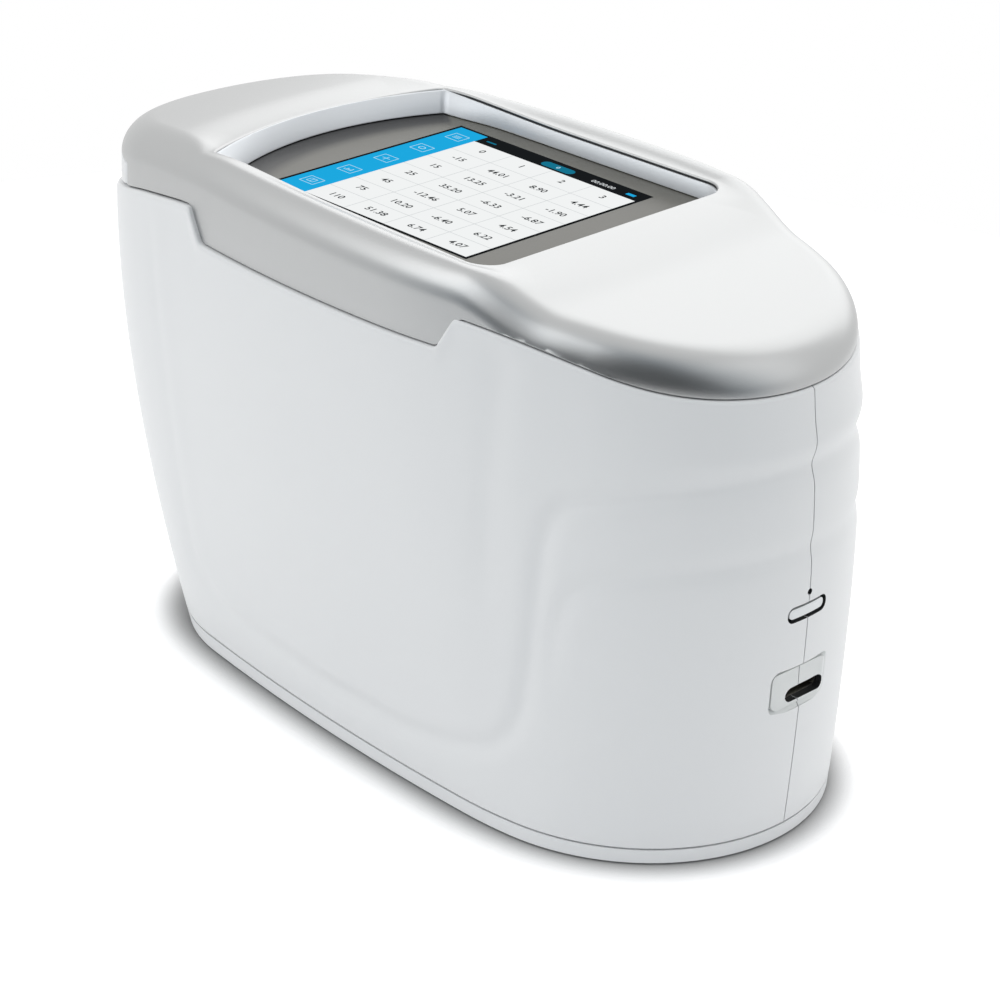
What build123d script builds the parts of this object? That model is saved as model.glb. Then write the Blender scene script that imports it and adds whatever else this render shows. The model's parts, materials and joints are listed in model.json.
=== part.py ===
from build123d import *
import math
import os

# Multi-angle spectrophotometer, all sizes in millimetres.
# +X points to the end with the power key, -Y to the near side, +Z up.
# The origin is on the standing surface, under the middle of the housing's box.

# Housing, overall
length = 211.4
width = 102.0
height = 130.0
wall = 2.6
shell_gap = 0.3
pad_proud = 0.5
rim_height = 3.3
overrun = 10.0

# Housing, plan outline: two end arcs joined by two side arcs on each side
waist_drop = 25.0
waist_z = height - waist_drop
base_narrowing = 4.0
left_radius_inset = 11.0
left_end_radius = width / 2 - left_radius_inset
left_end_lean = 27.8
lean_power = 1.8
right_bulge_z = 50.0
right_end_rise = 1.3
right_end_fall = 3.6
right_inset_base = 4.5
right_inset_top = 7.0
right_radius_base = width / 2 - right_inset_base
right_radius_top = width / 2 - right_inset_top
widest_x_base = 50.0
widest_x_top = 20.0
loft_levels = 6
loft_margin = 4.0
loft_top = height + loft_margin

# Cover, top profile and parting line; a drop is measured down from the top of the housing
cover_inset = 1.2
cover_wall = 2.2
shoulder_radius = 8.0
step_inset = 65.7
flat_top_x = length / 2 - step_inset
left_flat_inset = 65.7
left_slope_inset = 25.7
left_slope_drop = 4.5
left_end_drop = 14.0
step_length = 23.0
step_drop = 6.3
nose_start_slope = 0.08
nose_drop = 3.7
nose_end_drop = 9.0
nose_mid_inset = 13.7
parting_left_drop = 26.5
parting_left = ((-46.7, 24.2), (-25.0, 18.0))
lobe_start_x = -50.0
lobe_start_drop = 13.0
lobe_end_x = 43.0
lobe_end_drop = 10.7
lobe_slant = 6.0
lobe_depth = 8.0
parting_nose = ((11.0, 11.4), (21.0, 12.8), (34.0, 15.3), (41.5, 17.3), (55.0, 19.7))
parting_nose_drop = 20.6
tongue_height = 3.0
tongue_wall = 1.6
tongue_overlap = 0.4
slide_fit = 0.2

# Display well, in the cover
well_x0 = -48.0
well_x1 = 41.6
well_side_left = 14.0
well_side_right = 11.5
well_half_left = width / 2 - well_side_left
well_half_right = width / 2 - well_side_right
well_bow = 7.4
well_corner = 6.0
well_bevel = 1.6
well_wall = 2.0
glass_depth = 6.5
glass_thickness = 1.2
glass_fit = 0.15
ledge_width = 2.2
ledge_thickness = 1.6
trim_height = 3.6
trim_thickness = 0.6
trim_drop = 2.6
panel_length = 74.0
panel_margin = 5.0
panel_width = 2 * (well_half_left - panel_margin)
panel_thickness = 2.8
panel_x = -2.4
tray_floor = 1.2
tray_screw_x = 24.0
tray_screw_offset = 1.9
tray_ear_radius = 2.5
main_board_length = 84.0
main_board_margin = 1.0
main_board_width = panel_width - 2 * main_board_margin
board_thickness = 1.6
board_post_length = 4.2
board_post_radius = 2.6
board_post_inset = 5.0

# Base plate, feet and base screws
lip_height = 3.0
lip_wall = 1.8
lip_relief = 5.0
pad_radius = 5.5
pad_recess = 1.0
pad_left_inset = 55.7
pad_right_inset = 27.7
pad_y = 22.0
boss_inset = 7.0
boss_radius = 3.4
boss_height = 13.0
boss_angle = 48.0
boss_mid_x = 12.0
rib_thickness = 1.6
blind_floor = 1.0

# Screws: shank radius, head radius, head height
screw_shank = 1.2
screw_head = 2.3
screw_head_height = 1.5
screw_fit = 0.05
screw_length = 8.0
small_shank = 0.9
small_head = 1.8
small_head_height = 1.1
small_length = 5.0
screw_spare = 0.2

# Measuring aperture
aperture_x = -10.0
aperture_radius = 13.0
aperture_body = 19.0
aperture_flange = 23.0
aperture_flange_height = 2.0
aperture_depth = 3.2
window_thickness = 1.2
window_radius = 15.0

# Optics arch: angles are measured from the vertical through the aperture
receiver_angles = (-60, -30, -20, 0, 30, 65)
lamp_angle = 45.0
arch_inner = 32.0
arch_outer = 50.0
arch_half_width = 10.0
arch_foot_reach = 8.0
arch_foot_height = 5.0
spot_face_depth = 1.5
tube_radius = 2.5
tube_bore = 1.5
tube_collar = 3.3
tube_start = 34.0
tube_end = 58.0
optic_fit = 0.05
lens_radius = 1.95
lens_edge = 0.9
lens_crown = 0.5
lamp_tube_radius = 4.5
lamp_tube_bore = 3.2
lamp_collar = 6.0
lamp_tube_end = 60.0
lamp_lens_radius = 3.8
lamp_disc_radius = 7.0
lamp_disc_thickness = 1.6
lamp_can_length = 11.0

# Fibres from the receivers to the spectrograph
fibre_radius = 0.8
fibre_insert = 4.0
fibre_pitch = 4.2
fibre_run = 6.0
fibre_step = 3.0
ferrule_height = 6.0
ferrule_half_width = 4.0

# Optics frame: a bent sheet bridge that carries the spectrograph
frame_left_inset = 55.7
frame_x0 = frame_left_inset - length / 2
frame_x1 = 38.0
frame_half_width = 25.5
frame_sheet = 1.6
frame_flange = 8.0
frame_clearance = 18.0
frame_top = tube_end + frame_clearance
frame_window_low = 12.0
frame_window_high = 14.0
frame_window_side = 8.0
frame_window_corner = 4.0

# Spectrograph
case_length = 78.0
case_half_width = 21.0
case_height = 18.0
case_wall = 2.0
case_x = -5.0
lid_thickness = 1.6
grating_radius = 60.0
grating_width = 24.0
grating_thickness = 6.0
sensor_length = 28.0
sensor_inset = 6.0
sensor_rise = 3.0

# Battery
cell_radius = 9.2
cell_length = 65.0
cell_pitch = 19.2
battery_inset = 37.7
battery_x = length / 2 - battery_inset
holder_wall = 1.6
holder_height = 20.0
holder_floor = 2.0
cap_height = 8.0
holder_screw_x = 7.5
cell_bevel = 0.6
cell_contact = 1.0

# Port end: board, switches, key, socket and pocket
io_inset = 14.3
io_board_x = length / 2 - io_inset
io_half_width = 13.0
io_z0 = 26.0
io_z1 = 70.0
key_z = 58.6
key_width = 12.0
key_height = 2.9
key_corner = 1.1
key_gap = 0.3
key_travel = 0.5
key_flange = 1.2
key_stem_radius = 1.4
switch_side = 4.4
switch_depth = 3.4
plunger_radius = 1.2
plunger_proud = 0.9
plunger_hold = 1.2
pinhole_z = 62.9
pinhole_radius = 0.65
reset_side = 2.4
reset_depth = 2.6
reset_travel = 0.25
reset_hold = 1.0
socket_y = 2.1
socket_z = 37.9
socket_width = 11.7
socket_height = 3.3
socket_sheet = 0.35
socket_corner = 1.1
socket_back = 1.2
tongue_offset = 0.3
tongue_plate = 0.7
tongue_margin = 1.5
pocket_width = 19.0
pocket_height = 11.0
pocket_corner = 2.2
pocket_depth = 1.3
pocket_z = 40.5
pocket_y = -0.5

# Lugs on the shells that take the cover's screws
lug_drop = 28.5
lug_height = 2.5
lug_left_inset = 27.7
lug_right_inset = 25.7
lug_left_y = 24.0
lug_right_y = 22.0

# Measure key, across the cover's left end
measure_side = 5.0
measure_half_width = left_end_radius - measure_side
measure_reach = 8.0
measure_drop = 20.0
measure_top_drop = 14.5
measure_gap = 0.35
measure_travel = 1.0
guide_radius = 1.5
guide_y = 18.0
guide_inset = 19.7
bracket_sheet = 1.6
bracket_half_width = 24.0
bracket_height = 11.0
bracket_drop = 14.0
bracket_screw_inset = 24.7
bracket_screw_y = 12.0
bracket_margin = 5.0
measure_switch_depth = 5.0
measure_switch_half = 5.0
measure_hold = 1.5


def right_end(z):
    """How far the port end reaches at one height: it bulges most at mid height and falls back from there."""
    if z > right_bulge_z:
        return length / 2 - right_end_fall * ((z - right_bulge_z) / (waist_z - right_bulge_z)) ** 2
    return length / 2 - right_end_rise * (1 - z / right_bulge_z) ** 2


def section(z, inset):
    """Plan sizes of the housing at one height: ends, half width, widest place and end radii."""
    above = abs(1 - z / waist_z)
    x_left = -length / 2 + left_end_lean * above ** lean_power + inset
    x_right = right_end(z) - inset
    half = width / 2 - base_narrowing * above ** 1.5 - inset
    share = min(z / waist_z, 1.25)
    widest = widest_x_base + (widest_x_top - widest_x_base) * share
    r_left = left_end_radius - inset
    r_right = right_radius_base + (right_radius_top - right_radius_base) * share ** 2 - inset
    return x_left, x_right, half, widest, r_left, r_right


def outline(z, inset):
    """Closed plan outline at height z, six arcs that run into each other without a kink."""
    x_left, x_right, half, widest, r_left, r_right = section(z, inset)

    def side_arc(end_radius, span):
        radius = (span ** 2 + half ** 2 - end_radius ** 2) / (2 * (half - end_radius))
        return radius, math.atan2(span, radius - half)

    def arc_point(radius, angle, side):
        return Vector(widest + radius * math.sin(angle), side * (half - radius + radius * math.cos(angle)), z)

    big_left, turn_left = side_arc(r_left, widest - x_left - r_left)
    big_right, turn_right = side_arc(r_right, x_right - r_right - widest)
    corner = {}
    for side in (1, -1):
        corner[side] = (
            arc_point(big_left, -turn_left, side),
            arc_point(big_left, -turn_left / 2, side),
            Vector(widest, side * half, z),
            arc_point(big_right, turn_right / 2, side),
            arc_point(big_right, turn_right, side),
        )
    far, near = corner[1], corner[-1]
    edges = [
        Edge.make_three_point_arc(far[0], far[1], far[2]),
        Edge.make_three_point_arc(far[2], far[3], far[4]),
        Edge.make_three_point_arc(far[4], Vector(x_right, 0, z), near[4]),
        Edge.make_three_point_arc(near[4], near[3], near[2]),
        Edge.make_three_point_arc(near[2], near[1], near[0]),
        Edge.make_three_point_arc(near[0], Vector(x_left, 0, z), far[0]),
    ]
    return Wire(edges)


def side_form(inset):
    """The housing's side surface as a solid, lofted through its plan outlines."""
    levels = [loft_top * step / (loft_levels - 1) for step in range(loft_levels)]
    return Solid.make_loft([outline(z, inset) for z in levels], False)


def slab(z0, z1):
    return Pos(0, 0, (z0 + z1) / 2) * Box(2 * length, 2 * width, z1 - z0)


def block(x0, x1, y0, y1, z0, z1):
    return Pos((x0 + x1) / 2, (y0 + y1) / 2, (z0 + z1) / 2) * Box(x1 - x0, y1 - y0, z1 - z0)


def rod(radius, start, direction, reach):
    """A round bar from a point along a direction."""
    return Plane(origin=start, z_dir=direction) * Cylinder(
        radius, reach, align=(Align.CENTER, Align.CENTER, Align.MIN))


def ring_form(z0, z1, outer_inset, inner_inset):
    """A band of the housing wall between two heights."""
    return (side_form(outer_inset) - side_form(inner_inset)) & slab(z0, z1)


def across(edges):
    """A prism across the housing, from a closed outline in the XZ plane."""
    return extrude(Face(Wire(edges)), amount=width, dir=(0, 1, 0), both=True)


def point(x, z):
    return Vector(x, 0, z)


def below_top(drop):
    """Everything under the cover's top profile, lowered by drop: slope, flat, step down and nose."""
    x_far = length / 2 + overrun
    step_x = flat_top_x + step_length
    top = height - drop
    nose_z = top - step_drop - nose_end_drop
    left_z = top - left_end_drop
    left_mid = point(left_slope_inset - length / 2, top - left_slope_drop)
    left_top = point(left_flat_inset - length / 2, top)
    nose_mid = point(length / 2 - nose_mid_inset, top - step_drop - nose_drop)
    edges = [
        Edge.make_three_point_arc(point(-x_far, left_z), left_mid, left_top),
        Edge.make_line(left_top, point(flat_top_x, top)),
        Edge.make_spline([point(flat_top_x, top), point(step_x, top - step_drop)],
                         tangents=[Vector(1, 0, 0), Vector(1, 0, -nose_start_slope)]),
        Edge.make_three_point_arc(point(step_x, top - step_drop), nose_mid, point(x_far, nose_z)),
        Edge.make_line(point(x_far, nose_z), point(x_far, 0)),
        Edge.make_line(point(x_far, 0), point(-x_far, 0)),
        Edge.make_line(point(-x_far, 0), point(-x_far, left_z)),
    ]
    return across(edges)


def above_parting(lift):
    """Everything over the line where the cover meets the shells, raised by lift."""
    x_far = length / 2 + overrun / 2
    roof = loft_top + 2 * overrun
    base = height + lift
    lobe_top_left = point(lobe_start_x, base - lobe_start_drop)
    lobe_left = point(lobe_start_x + lobe_slant, base - lobe_start_drop - lobe_depth)
    lobe_right = point(lobe_end_x - lobe_slant, base - lobe_end_drop - lobe_depth)
    lobe_top_right = point(lobe_end_x, base - lobe_end_drop)
    left = [point(-x_far, base - parting_left_drop)]
    left += [point(lobe_start_x + run, base - drop) for run, drop in parting_left]
    left += [lobe_top_left]
    right = [lobe_top_right]
    right += [point(lobe_end_x + run, base - drop) for run, drop in parting_nose]
    right += [point(x_far, base - parting_nose_drop)]
    edges = [
        Edge.make_spline(left),
        Edge.make_line(lobe_top_left, lobe_left),
        Edge.make_line(lobe_left, lobe_right),
        Edge.make_line(lobe_right, lobe_top_right),
        Edge.make_spline(right),
        Edge.make_line(right[-1], point(x_far, roof)),
        Edge.make_line(point(x_far, roof), point(-x_far, roof)),
        Edge.make_line(point(-x_far, roof), left[0]),
    ]
    return across(edges)


def half_at(x, z, inset):
    """Half width of the plan outline at x, on the long side arcs."""
    x_left, x_right, half, widest, r_left, r_right = section(z, inset)
    if x < widest:
        span, end_radius = widest - x_left - r_left, r_left
    else:
        span, end_radius = x_right - r_right - widest, r_right
    radius = (span ** 2 + half ** 2 - end_radius ** 2) / (2 * (half - end_radius))
    return half - radius + math.sqrt(radius ** 2 - (x - widest) ** 2)


def end_centres(z):
    """Where the two end arcs are centred at height z."""
    x_left, x_right, half, widest, r_left, r_right = section(z, 0)
    return x_left + r_left, x_right - r_right


def screw(x, y, z, upward, shank, head, head_height, reach):
    """A screw whose head seats on height z, with its shank running up or down from there."""
    way = 1 if upward else -1
    place = Plane(origin=(x, y, z), z_dir=(0, 0, way))
    shaft = place * Cylinder(shank, reach, align=(Align.CENTER, Align.CENTER, Align.MIN))
    cap = place * Cylinder(head, head_height, align=(Align.CENTER, Align.CENTER, Align.MAX))
    return shaft + cap


def bore(x, y, z0, z1, radius):
    return Pos(x, y, z0) * Cylinder(radius, z1 - z0, align=(Align.CENTER, Align.CENTER, Align.MIN))


def group(solids):
    return Compound(children=list(solids))


# Heights that several pieces share
plate_top = pad_proud + rim_height
blind_bottom = pad_proud + blind_floor
shell_bottom = plate_top + shell_gap
glass_top = height - glass_depth
glass_bottom = glass_top - glass_thickness
ledge_bottom = glass_bottom - ledge_thickness
tray_bottom = glass_bottom - panel_thickness - tray_floor
board_top = tray_bottom - board_post_length
parting_half_gap = shell_gap / 2
well_x = (well_x0 + well_x1) / 2
tray_screw_y = well_half_right + tray_screw_offset
tray_points = [(well_x + sx * tray_screw_x, sy * tray_screw_y) for sx in (-1, 1) for sy in (-1, 1)]
board_points = [
    (panel_x + sx * (main_board_length / 2 - board_post_inset), sy * (main_board_width / 2 - board_post_inset))
    for sx in (-1, 1)
    for sy in (-1, 1)
]
lug_z0 = height - lug_drop
lug_left = (lug_left_inset - length / 2, lug_left_y)
lug_right = (length / 2 - lug_right_inset, lug_right_y)
lug_points = [(x, side * y) for x, y in (lug_left, lug_right) for side in (-1, 1)]
bracket_top = height - bracket_drop
bracket_screw_x = bracket_screw_inset - length / 2
guide_x = guide_inset - length / 2
measure_z = height - measure_drop
case_z = frame_top + case_wall


def base_boss_points():
    """Places of the six base screws: two on each end arc and one on each side."""
    left_x, right_x = end_centres(0)
    r_left = left_end_radius - boss_inset
    r_right = right_radius_base - boss_inset
    turn = math.radians(boss_angle)
    points = []
    for side in (-1, 1):
        left_y = side * r_left * math.sin(turn)
        right_y = side * r_right * math.sin(turn)
        points.append((left_x - r_left * math.cos(turn), left_y, 180 - side * boss_angle))
        points.append((right_x + r_right * math.cos(turn), right_y, side * boss_angle))
        points.append((boss_mid_x, side * half_at(boss_mid_x, 0, boss_inset), side * 90))
    return points


def well_face(grow):
    """Plan outline of the display well, grown outwards: a bowed left end and round right corners."""
    x0 = well_x0 - grow
    x1 = well_x1 + grow
    left = well_half_left + grow
    right = well_half_right + grow
    corner = well_corner + grow
    middle = corner * (1 - math.sqrt(0.5))
    edges = [
        Edge.make_three_point_arc(Vector(x0, left), Vector(x0 - well_bow, 0), Vector(x0, -left)),
        Edge.make_line(Vector(x0, -left), Vector(x1 - corner, -right)),
        Edge.make_three_point_arc(Vector(x1 - corner, -right), Vector(x1 - middle, -right + middle),
                                  Vector(x1, -right + corner)),
        Edge.make_line(Vector(x1, -right + corner), Vector(x1, right - corner)),
        Edge.make_three_point_arc(Vector(x1, right - corner), Vector(x1 - middle, right - middle),
                                  Vector(x1 - corner, right)),
        Edge.make_line(Vector(x1 - corner, right), Vector(x0, left)),
    ]
    return Face(Wire(edges))


def well_prism(grow, z0, z1):
    return Pos(0, 0, z0) * extrude(well_face(grow), amount=z1 - z0, dir=(0, 0, 1))


def well_mouth():
    """The slanted band round the well's upper edge, as a solid to cut away."""
    low = Pos(0, 0, height - well_bevel) * well_face(0).outer_wire()
    high = Pos(0, 0, height + well_bevel) * well_face(2 * well_bevel).outer_wire()
    return Solid.make_loft([low, high], True)


def straight_walls(inset):
    """The cover's outline carried straight up, from under the parting line to over the top."""
    start = waist_z - 1.5 * overrun
    face = Face(outline(waist_z, cover_inset + inset))
    return Pos(0, 0, start - waist_z) * extrude(face, amount=loft_top - start, dir=(0, 0, 1))


def cover_form(inset):
    """The cover as a full solid: straight walls, the top profile and a rounded rim between them."""
    form = (straight_walls(inset) & below_top(inset)).solid()
    tops = [face for face in form.faces() if face.normal_at().Z > 0.3]
    edges = [edge for face in tops for edge in face.edges()]
    rim = [edge for edge in edges if sum(edge.is_same(other) for other in edges) == 1]
    return form.fillet(shoulder_radius - inset, rim)


def key_region(grow, drop):
    """The place of the measure key: the cover's left end, from the parting line up to a level."""
    left_x, right_x = end_centres(waist_z)
    half = measure_half_width + grow
    region = block(-length, left_x - measure_reach, -half, half, waist_z - 1.5 * overrun,
                   height - measure_top_drop + grow)
    return region & above_parting(parting_half_gap - drop)


def build_top_cover(outer, inner):
    skin = (outer - inner) & above_parting(parting_half_gap)
    blank = straight_walls(cover_wall - tongue_overlap) - straight_walls(cover_wall + tongue_wall)
    blank = (blank & above_parting(-tongue_height)) - above_parting(tongue_height)
    upper = blank & above_parting(parting_half_gap)
    lower = (blank & side_form(wall + slide_fit)) - above_parting(parting_half_gap)
    cover = skin + upper + lower
    cover -= key_region(measure_gap, tongue_height + 1)
    core = cover_form(cover_wall / 2)
    posts = well_prism(well_wall, ledge_bottom, height)
    for x, y in tray_points:
        posts += bore(x, y, ledge_bottom, height, tray_ear_radius)
    for x, y in lug_points:
        posts += bore(x, y, lug_z0 + lug_height, height, boss_radius)
    for side in (-1, 1):
        posts += bore(bracket_screw_x, side * bracket_screw_y, bracket_top, height, boss_radius)
    cover += posts & core
    cover -= well_prism(0, glass_bottom, height + 1)
    cover -= well_mouth()
    cover -= well_prism(-ledge_width, ledge_bottom - 1, glass_bottom)
    for x, y in tray_points:
        cover -= bore(x, y, ledge_bottom, tray_bottom + small_length + screw_fit, small_shank + screw_fit)
    for x, y in lug_points:
        cover -= bore(x, y, lug_z0 + lug_height, lug_z0 + screw_length + screw_fit, screw_shank + screw_fit)
    for side in (-1, 1):
        cover -= bore(bracket_screw_x, side * bracket_screw_y, bracket_top,
                      bracket_top - bracket_sheet + small_length + screw_fit, small_shank + screw_fit)
    return cover


def slot_prism(y, z, across_y, across_z, x0, x1, corner):
    """A rounded bar along X."""
    plane = Plane(origin=(x0, y, z), x_dir=(0, 1, 0), z_dir=(1, 0, 0))
    return extrude(plane * RectangleRounded(across_y, across_z, corner), amount=x1 - x0, dir=(1, 0, 0))


def build_shells():
    """Both halves of the housing wall, with bosses, lugs, board rails and the openings at the port end."""
    body = side_form(0) - side_form(wall)
    body = (body & slab(shell_bottom, loft_top)) - above_parting(-parting_half_gap)
    inside = side_form(wall / 2)
    left_x, right_x = end_centres(waist_z)
    fittings = []
    for x, y, turn in base_boss_points():
        fittings.append(bore(x, y, plate_top, plate_top + boss_height, boss_radius))
        rib = Pos(boss_inset, 0, shell_bottom + boss_height / 2) * Box(2 * boss_inset, rib_thickness, boss_height)
        fittings.append(Pos(x, y) * Rot(0, 0, turn) * rib)
    for x, y in lug_points:
        centre = left_x if x < 0 else right_x
        turn = math.degrees(math.atan2(y, x - centre))
        tab = Pos(wall + boss_radius * 2, 0, lug_z0 + lug_height / 2) * Box(
            4 * boss_radius, 2 * boss_radius, lug_height)
        fittings.append(bore(x, y, lug_z0, lug_z0 + lug_height, boss_radius))
        fittings.append(Pos(x, y) * Rot(0, 0, turn) * tab)
    for side in (-1, 1):
        y0 = side * (io_half_width - holder_wall)
        y1 = side * (io_half_width + 2 * rib_thickness)
        fittings.append(block(io_board_x - holder_wall, length / 2, min(y0, y1), max(y0, y1), io_z0, io_z1))
    for piece in fittings:
        body += piece & inside
    body -= block(io_board_x - screw_fit, io_board_x + board_thickness + screw_fit,
                  -io_half_width - screw_fit, io_half_width + screw_fit, io_z0 - 1, io_z1 + 1)
    for x, y, turn in base_boss_points():
        body -= bore(x, y, plate_top, plate_top + screw_length, screw_shank + screw_fit)
    for x, y in lug_points:
        body -= bore(x, y, lug_z0 - 1, lug_z0 + lug_height, screw_shank + screw_fit)
    x0 = length / 2 - 3 * wall
    x1 = length / 2 + 1
    body -= slot_prism(0, key_z, key_width, key_height, x0, x1, key_corner + key_gap)
    body -= rod(pinhole_radius, (x0, 0, pinhole_z), (1, 0, 0), x1 - x0)
    pocket = slot_prism(pocket_y, pocket_z, pocket_width, pocket_height, x0, x1, pocket_corner)
    body -= pocket - side_form(pocket_depth)
    body -= slot_prism(socket_y, socket_z, socket_width + key_gap * 2, socket_height + key_gap * 2,
                       x0, x1, socket_corner + key_gap)
    near = body & block(-length, length, -width, -parting_half_gap, 0, height)
    far = body & block(-length, length, parting_half_gap, width, 0, height)
    return near, far


def build_base_plate():
    plate = side_form(0) & slab(pad_proud, plate_top)
    lip_inset = wall + slide_fit
    lip = ring_form(plate_top - lip_height / 2, plate_top + lip_height, lip_inset, lip_inset + lip_wall)
    for x, y, turn in base_boss_points():
        lip -= bore(x, y, plate_top, height, boss_radius + lip_relief)
    plate += lip
    plate -= bore(aperture_x, 0, 0, plate_top, aperture_body + slide_fit)
    for x, y in pad_points():
        plate -= bore(x, y, 0, pad_proud + pad_recess, pad_radius + screw_fit)
    for x, y, turn in base_boss_points():
        plate -= bore(x, y, 0, base_screw_z(), screw_head + slide_fit)
        plate -= bore(x, y, pad_proud, plate_top, screw_shank + screw_fit)
    for x, y in arch_points():
        plate -= bore(x, y, plate_top + arch_foot_height - screw_length, plate_top, screw_shank + screw_fit)
    for x, y in frame_points():
        plate -= bore(x, y, blind_bottom, plate_top, small_shank + screw_fit)
    for x, y in holder_points():
        plate -= bore(x, y, blind_bottom, plate_top, small_shank + screw_fit)
    for x, y in ring_points():
        plate -= bore(x, y, blind_bottom, plate_top, small_shank + screw_fit)
    return plate


def base_screw_z():
    """Seat of the base screws' heads, sunk in the plate from below."""
    return pad_proud + shell_gap + screw_head_height


def pad_points():
    ends = (pad_left_inset - length / 2, length / 2 - pad_right_inset)
    return [(x, side * pad_y) for x in ends for side in (-1, 1)]


def arch_points():
    along = (arch_inner + arch_outer) / 2
    across_y = arch_half_width + arch_foot_reach / 2
    return [(aperture_x + way * along, side * across_y) for way in (-1, 1) for side in (-1, 1)]


def frame_points():
    middle = frame_half_width + frame_flange / 2
    return [(x, side * middle) for x in (frame_x0 + frame_flange, frame_x1 - frame_flange) for side in (-1, 1)]


def holder_points():
    gap = cell_pitch / 2
    return [(battery_x + way * holder_screw_x, side * gap) for way in (-1, 1) for side in (-1, 1)]


def ring_points():
    middle = (aperture_body + aperture_flange) / 2
    return [
        (aperture_x + middle * math.cos(math.radians(turn)), middle * math.sin(math.radians(turn)))
        for turn in (90, 210, 330)
    ]


def build_aperture_ring():
    """The black ring that touches the sample, with the window's seat over its mouth."""
    ring = bore(aperture_x, 0, 0, plate_top + aperture_flange_height, aperture_body)
    ring += bore(aperture_x, 0, plate_top, plate_top + aperture_flange_height, aperture_flange)
    ring -= bore(aperture_x, 0, aperture_depth, plate_top + aperture_flange_height, window_radius + optic_fit)
    mouth = Pos(aperture_x, 0, aperture_depth / 2) * Cone(
        aperture_radius, aperture_radius - 1, aperture_depth)
    ring -= mouth
    for x, y in ring_points():
        ring -= bore(x, y, plate_top, plate_top + aperture_flange_height, small_shank + screw_fit)
    return ring


def radial(radius, angle):
    """A point in the plane of the optics, at a radius from the sample's centre."""
    turn = math.radians(angle)
    return Vector(aperture_x + radius * math.sin(turn), 0, radius * math.cos(turn))


def ray(angle):
    turn = math.radians(angle)
    return Vector(math.sin(turn), 0, math.cos(turn))


def optic_rod(radius, start, end, angle):
    return rod(radius, radial(start, angle), ray(angle), end - start)


def build_optics_arch():
    """The arch over the sample: one bore for the lamp and one for each receiver, all aimed at its centre.
    It stands on two feet that reach out to both sides."""
    outer = Plane(origin=(aperture_x, -arch_half_width, 0), x_dir=(1, 0, 0), z_dir=(0, 1, 0))
    depth = 2 * arch_half_width
    disc = outer * Cylinder(arch_outer, depth, align=(Align.CENTER, Align.CENTER, Align.MIN))
    hollow = outer * Cylinder(arch_inner, depth, align=(Align.CENTER, Align.CENTER, Align.MIN))
    arch = (disc - hollow) & block(aperture_x - arch_outer, aperture_x + arch_outer, -arch_half_width,
                                   arch_half_width, plate_top + 1, arch_outer)
    for way in (-1, 1):
        inner = aperture_x + way * arch_inner
        end = aperture_x + way * arch_outer
        half = arch_half_width + arch_foot_reach
        arch += block(min(inner, end), max(inner, end), -half, half, plate_top, plate_top + arch_foot_height)
    for angle in receiver_angles:
        arch -= optic_rod(tube_radius + optic_fit, arch_inner - 5, arch_outer + 5, angle)
        arch -= optic_rod(tube_collar + slide_fit, arch_outer - spot_face_depth, arch_outer + 5, angle)
    arch -= optic_rod(lamp_tube_radius + optic_fit, arch_inner - 5, arch_outer + 5, lamp_angle)
    arch -= optic_rod(lamp_collar + slide_fit, arch_outer - spot_face_depth, arch_outer + 5, lamp_angle)
    for x, y in arch_points():
        arch -= bore(x, y, plate_top, plate_top + arch_foot_height, screw_shank + screw_fit)
    return arch


def receiver_tube(angle):
    seat = arch_outer - spot_face_depth
    tube = optic_rod(tube_radius, tube_start, tube_end, angle)
    tube += optic_rod(tube_collar, seat, seat + spot_face_depth, angle)
    tube -= optic_rod(tube_bore, tube_start, tube_end - fibre_insert - 2, angle)
    tube -= optic_rod(fibre_radius + optic_fit, tube_start + 5, tube_end, angle)
    tube -= optic_rod(lens_radius + optic_fit, tube_start, tube_start + lens_edge + lens_crown, angle)
    return tube


def lens(radius, edge, crown, angle, start):
    """A lens with a flat back and a domed front, turned about its own axis."""
    profile = Wire([
        Edge.make_three_point_arc(Vector(0, 0, 0), Vector(radius * math.sqrt(0.5), 0, crown / 2),
                                  Vector(radius, 0, crown)),
        Edge.make_line(Vector(radius, 0, crown), Vector(radius, 0, crown + edge)),
        Edge.make_line(Vector(radius, 0, crown + edge), Vector(0, 0, crown + edge)),
        Edge.make_line(Vector(0, 0, crown + edge), Vector(0, 0, 0)),
    ])
    place = Plane(origin=radial(start, angle), z_dir=ray(angle))
    return place * revolve(Face(profile), axis=Axis.Z)


def build_lamp_holder():
    seat = arch_outer - spot_face_depth
    holder = optic_rod(lamp_tube_radius, tube_start, lamp_tube_end, lamp_angle)
    holder += optic_rod(lamp_collar, seat, seat + spot_face_depth, lamp_angle)
    holder -= optic_rod(lamp_tube_bore, tube_start, lamp_tube_end, lamp_angle)
    lens_back = tube_start + 2 * lens_edge + lens_crown
    holder -= optic_rod(lamp_lens_radius + optic_fit, tube_start, lens_back, lamp_angle)
    return holder


def build_lamp():
    """The lamp's can inside its holder and the round board behind it."""
    can = optic_rod(lamp_tube_bore - optic_fit, lamp_tube_end - lamp_can_length, lamp_tube_end, lamp_angle)
    board = optic_rod(lamp_disc_radius, lamp_tube_end, lamp_tube_end + lamp_disc_thickness, lamp_angle)
    return can + board


def corner_radii(points):
    """Bend radii as large as the two runs beside each corner allow."""
    radii = []
    for before, here, after in zip(points, points[1:], points[2:]):
        run_in = here - before
        run_out = after - here
        turn = math.radians(run_in.get_angle(run_out))
        radii.append(0.45 * min(run_in.length, run_out.length) / math.tan(turn / 2))
    return radii


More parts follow.
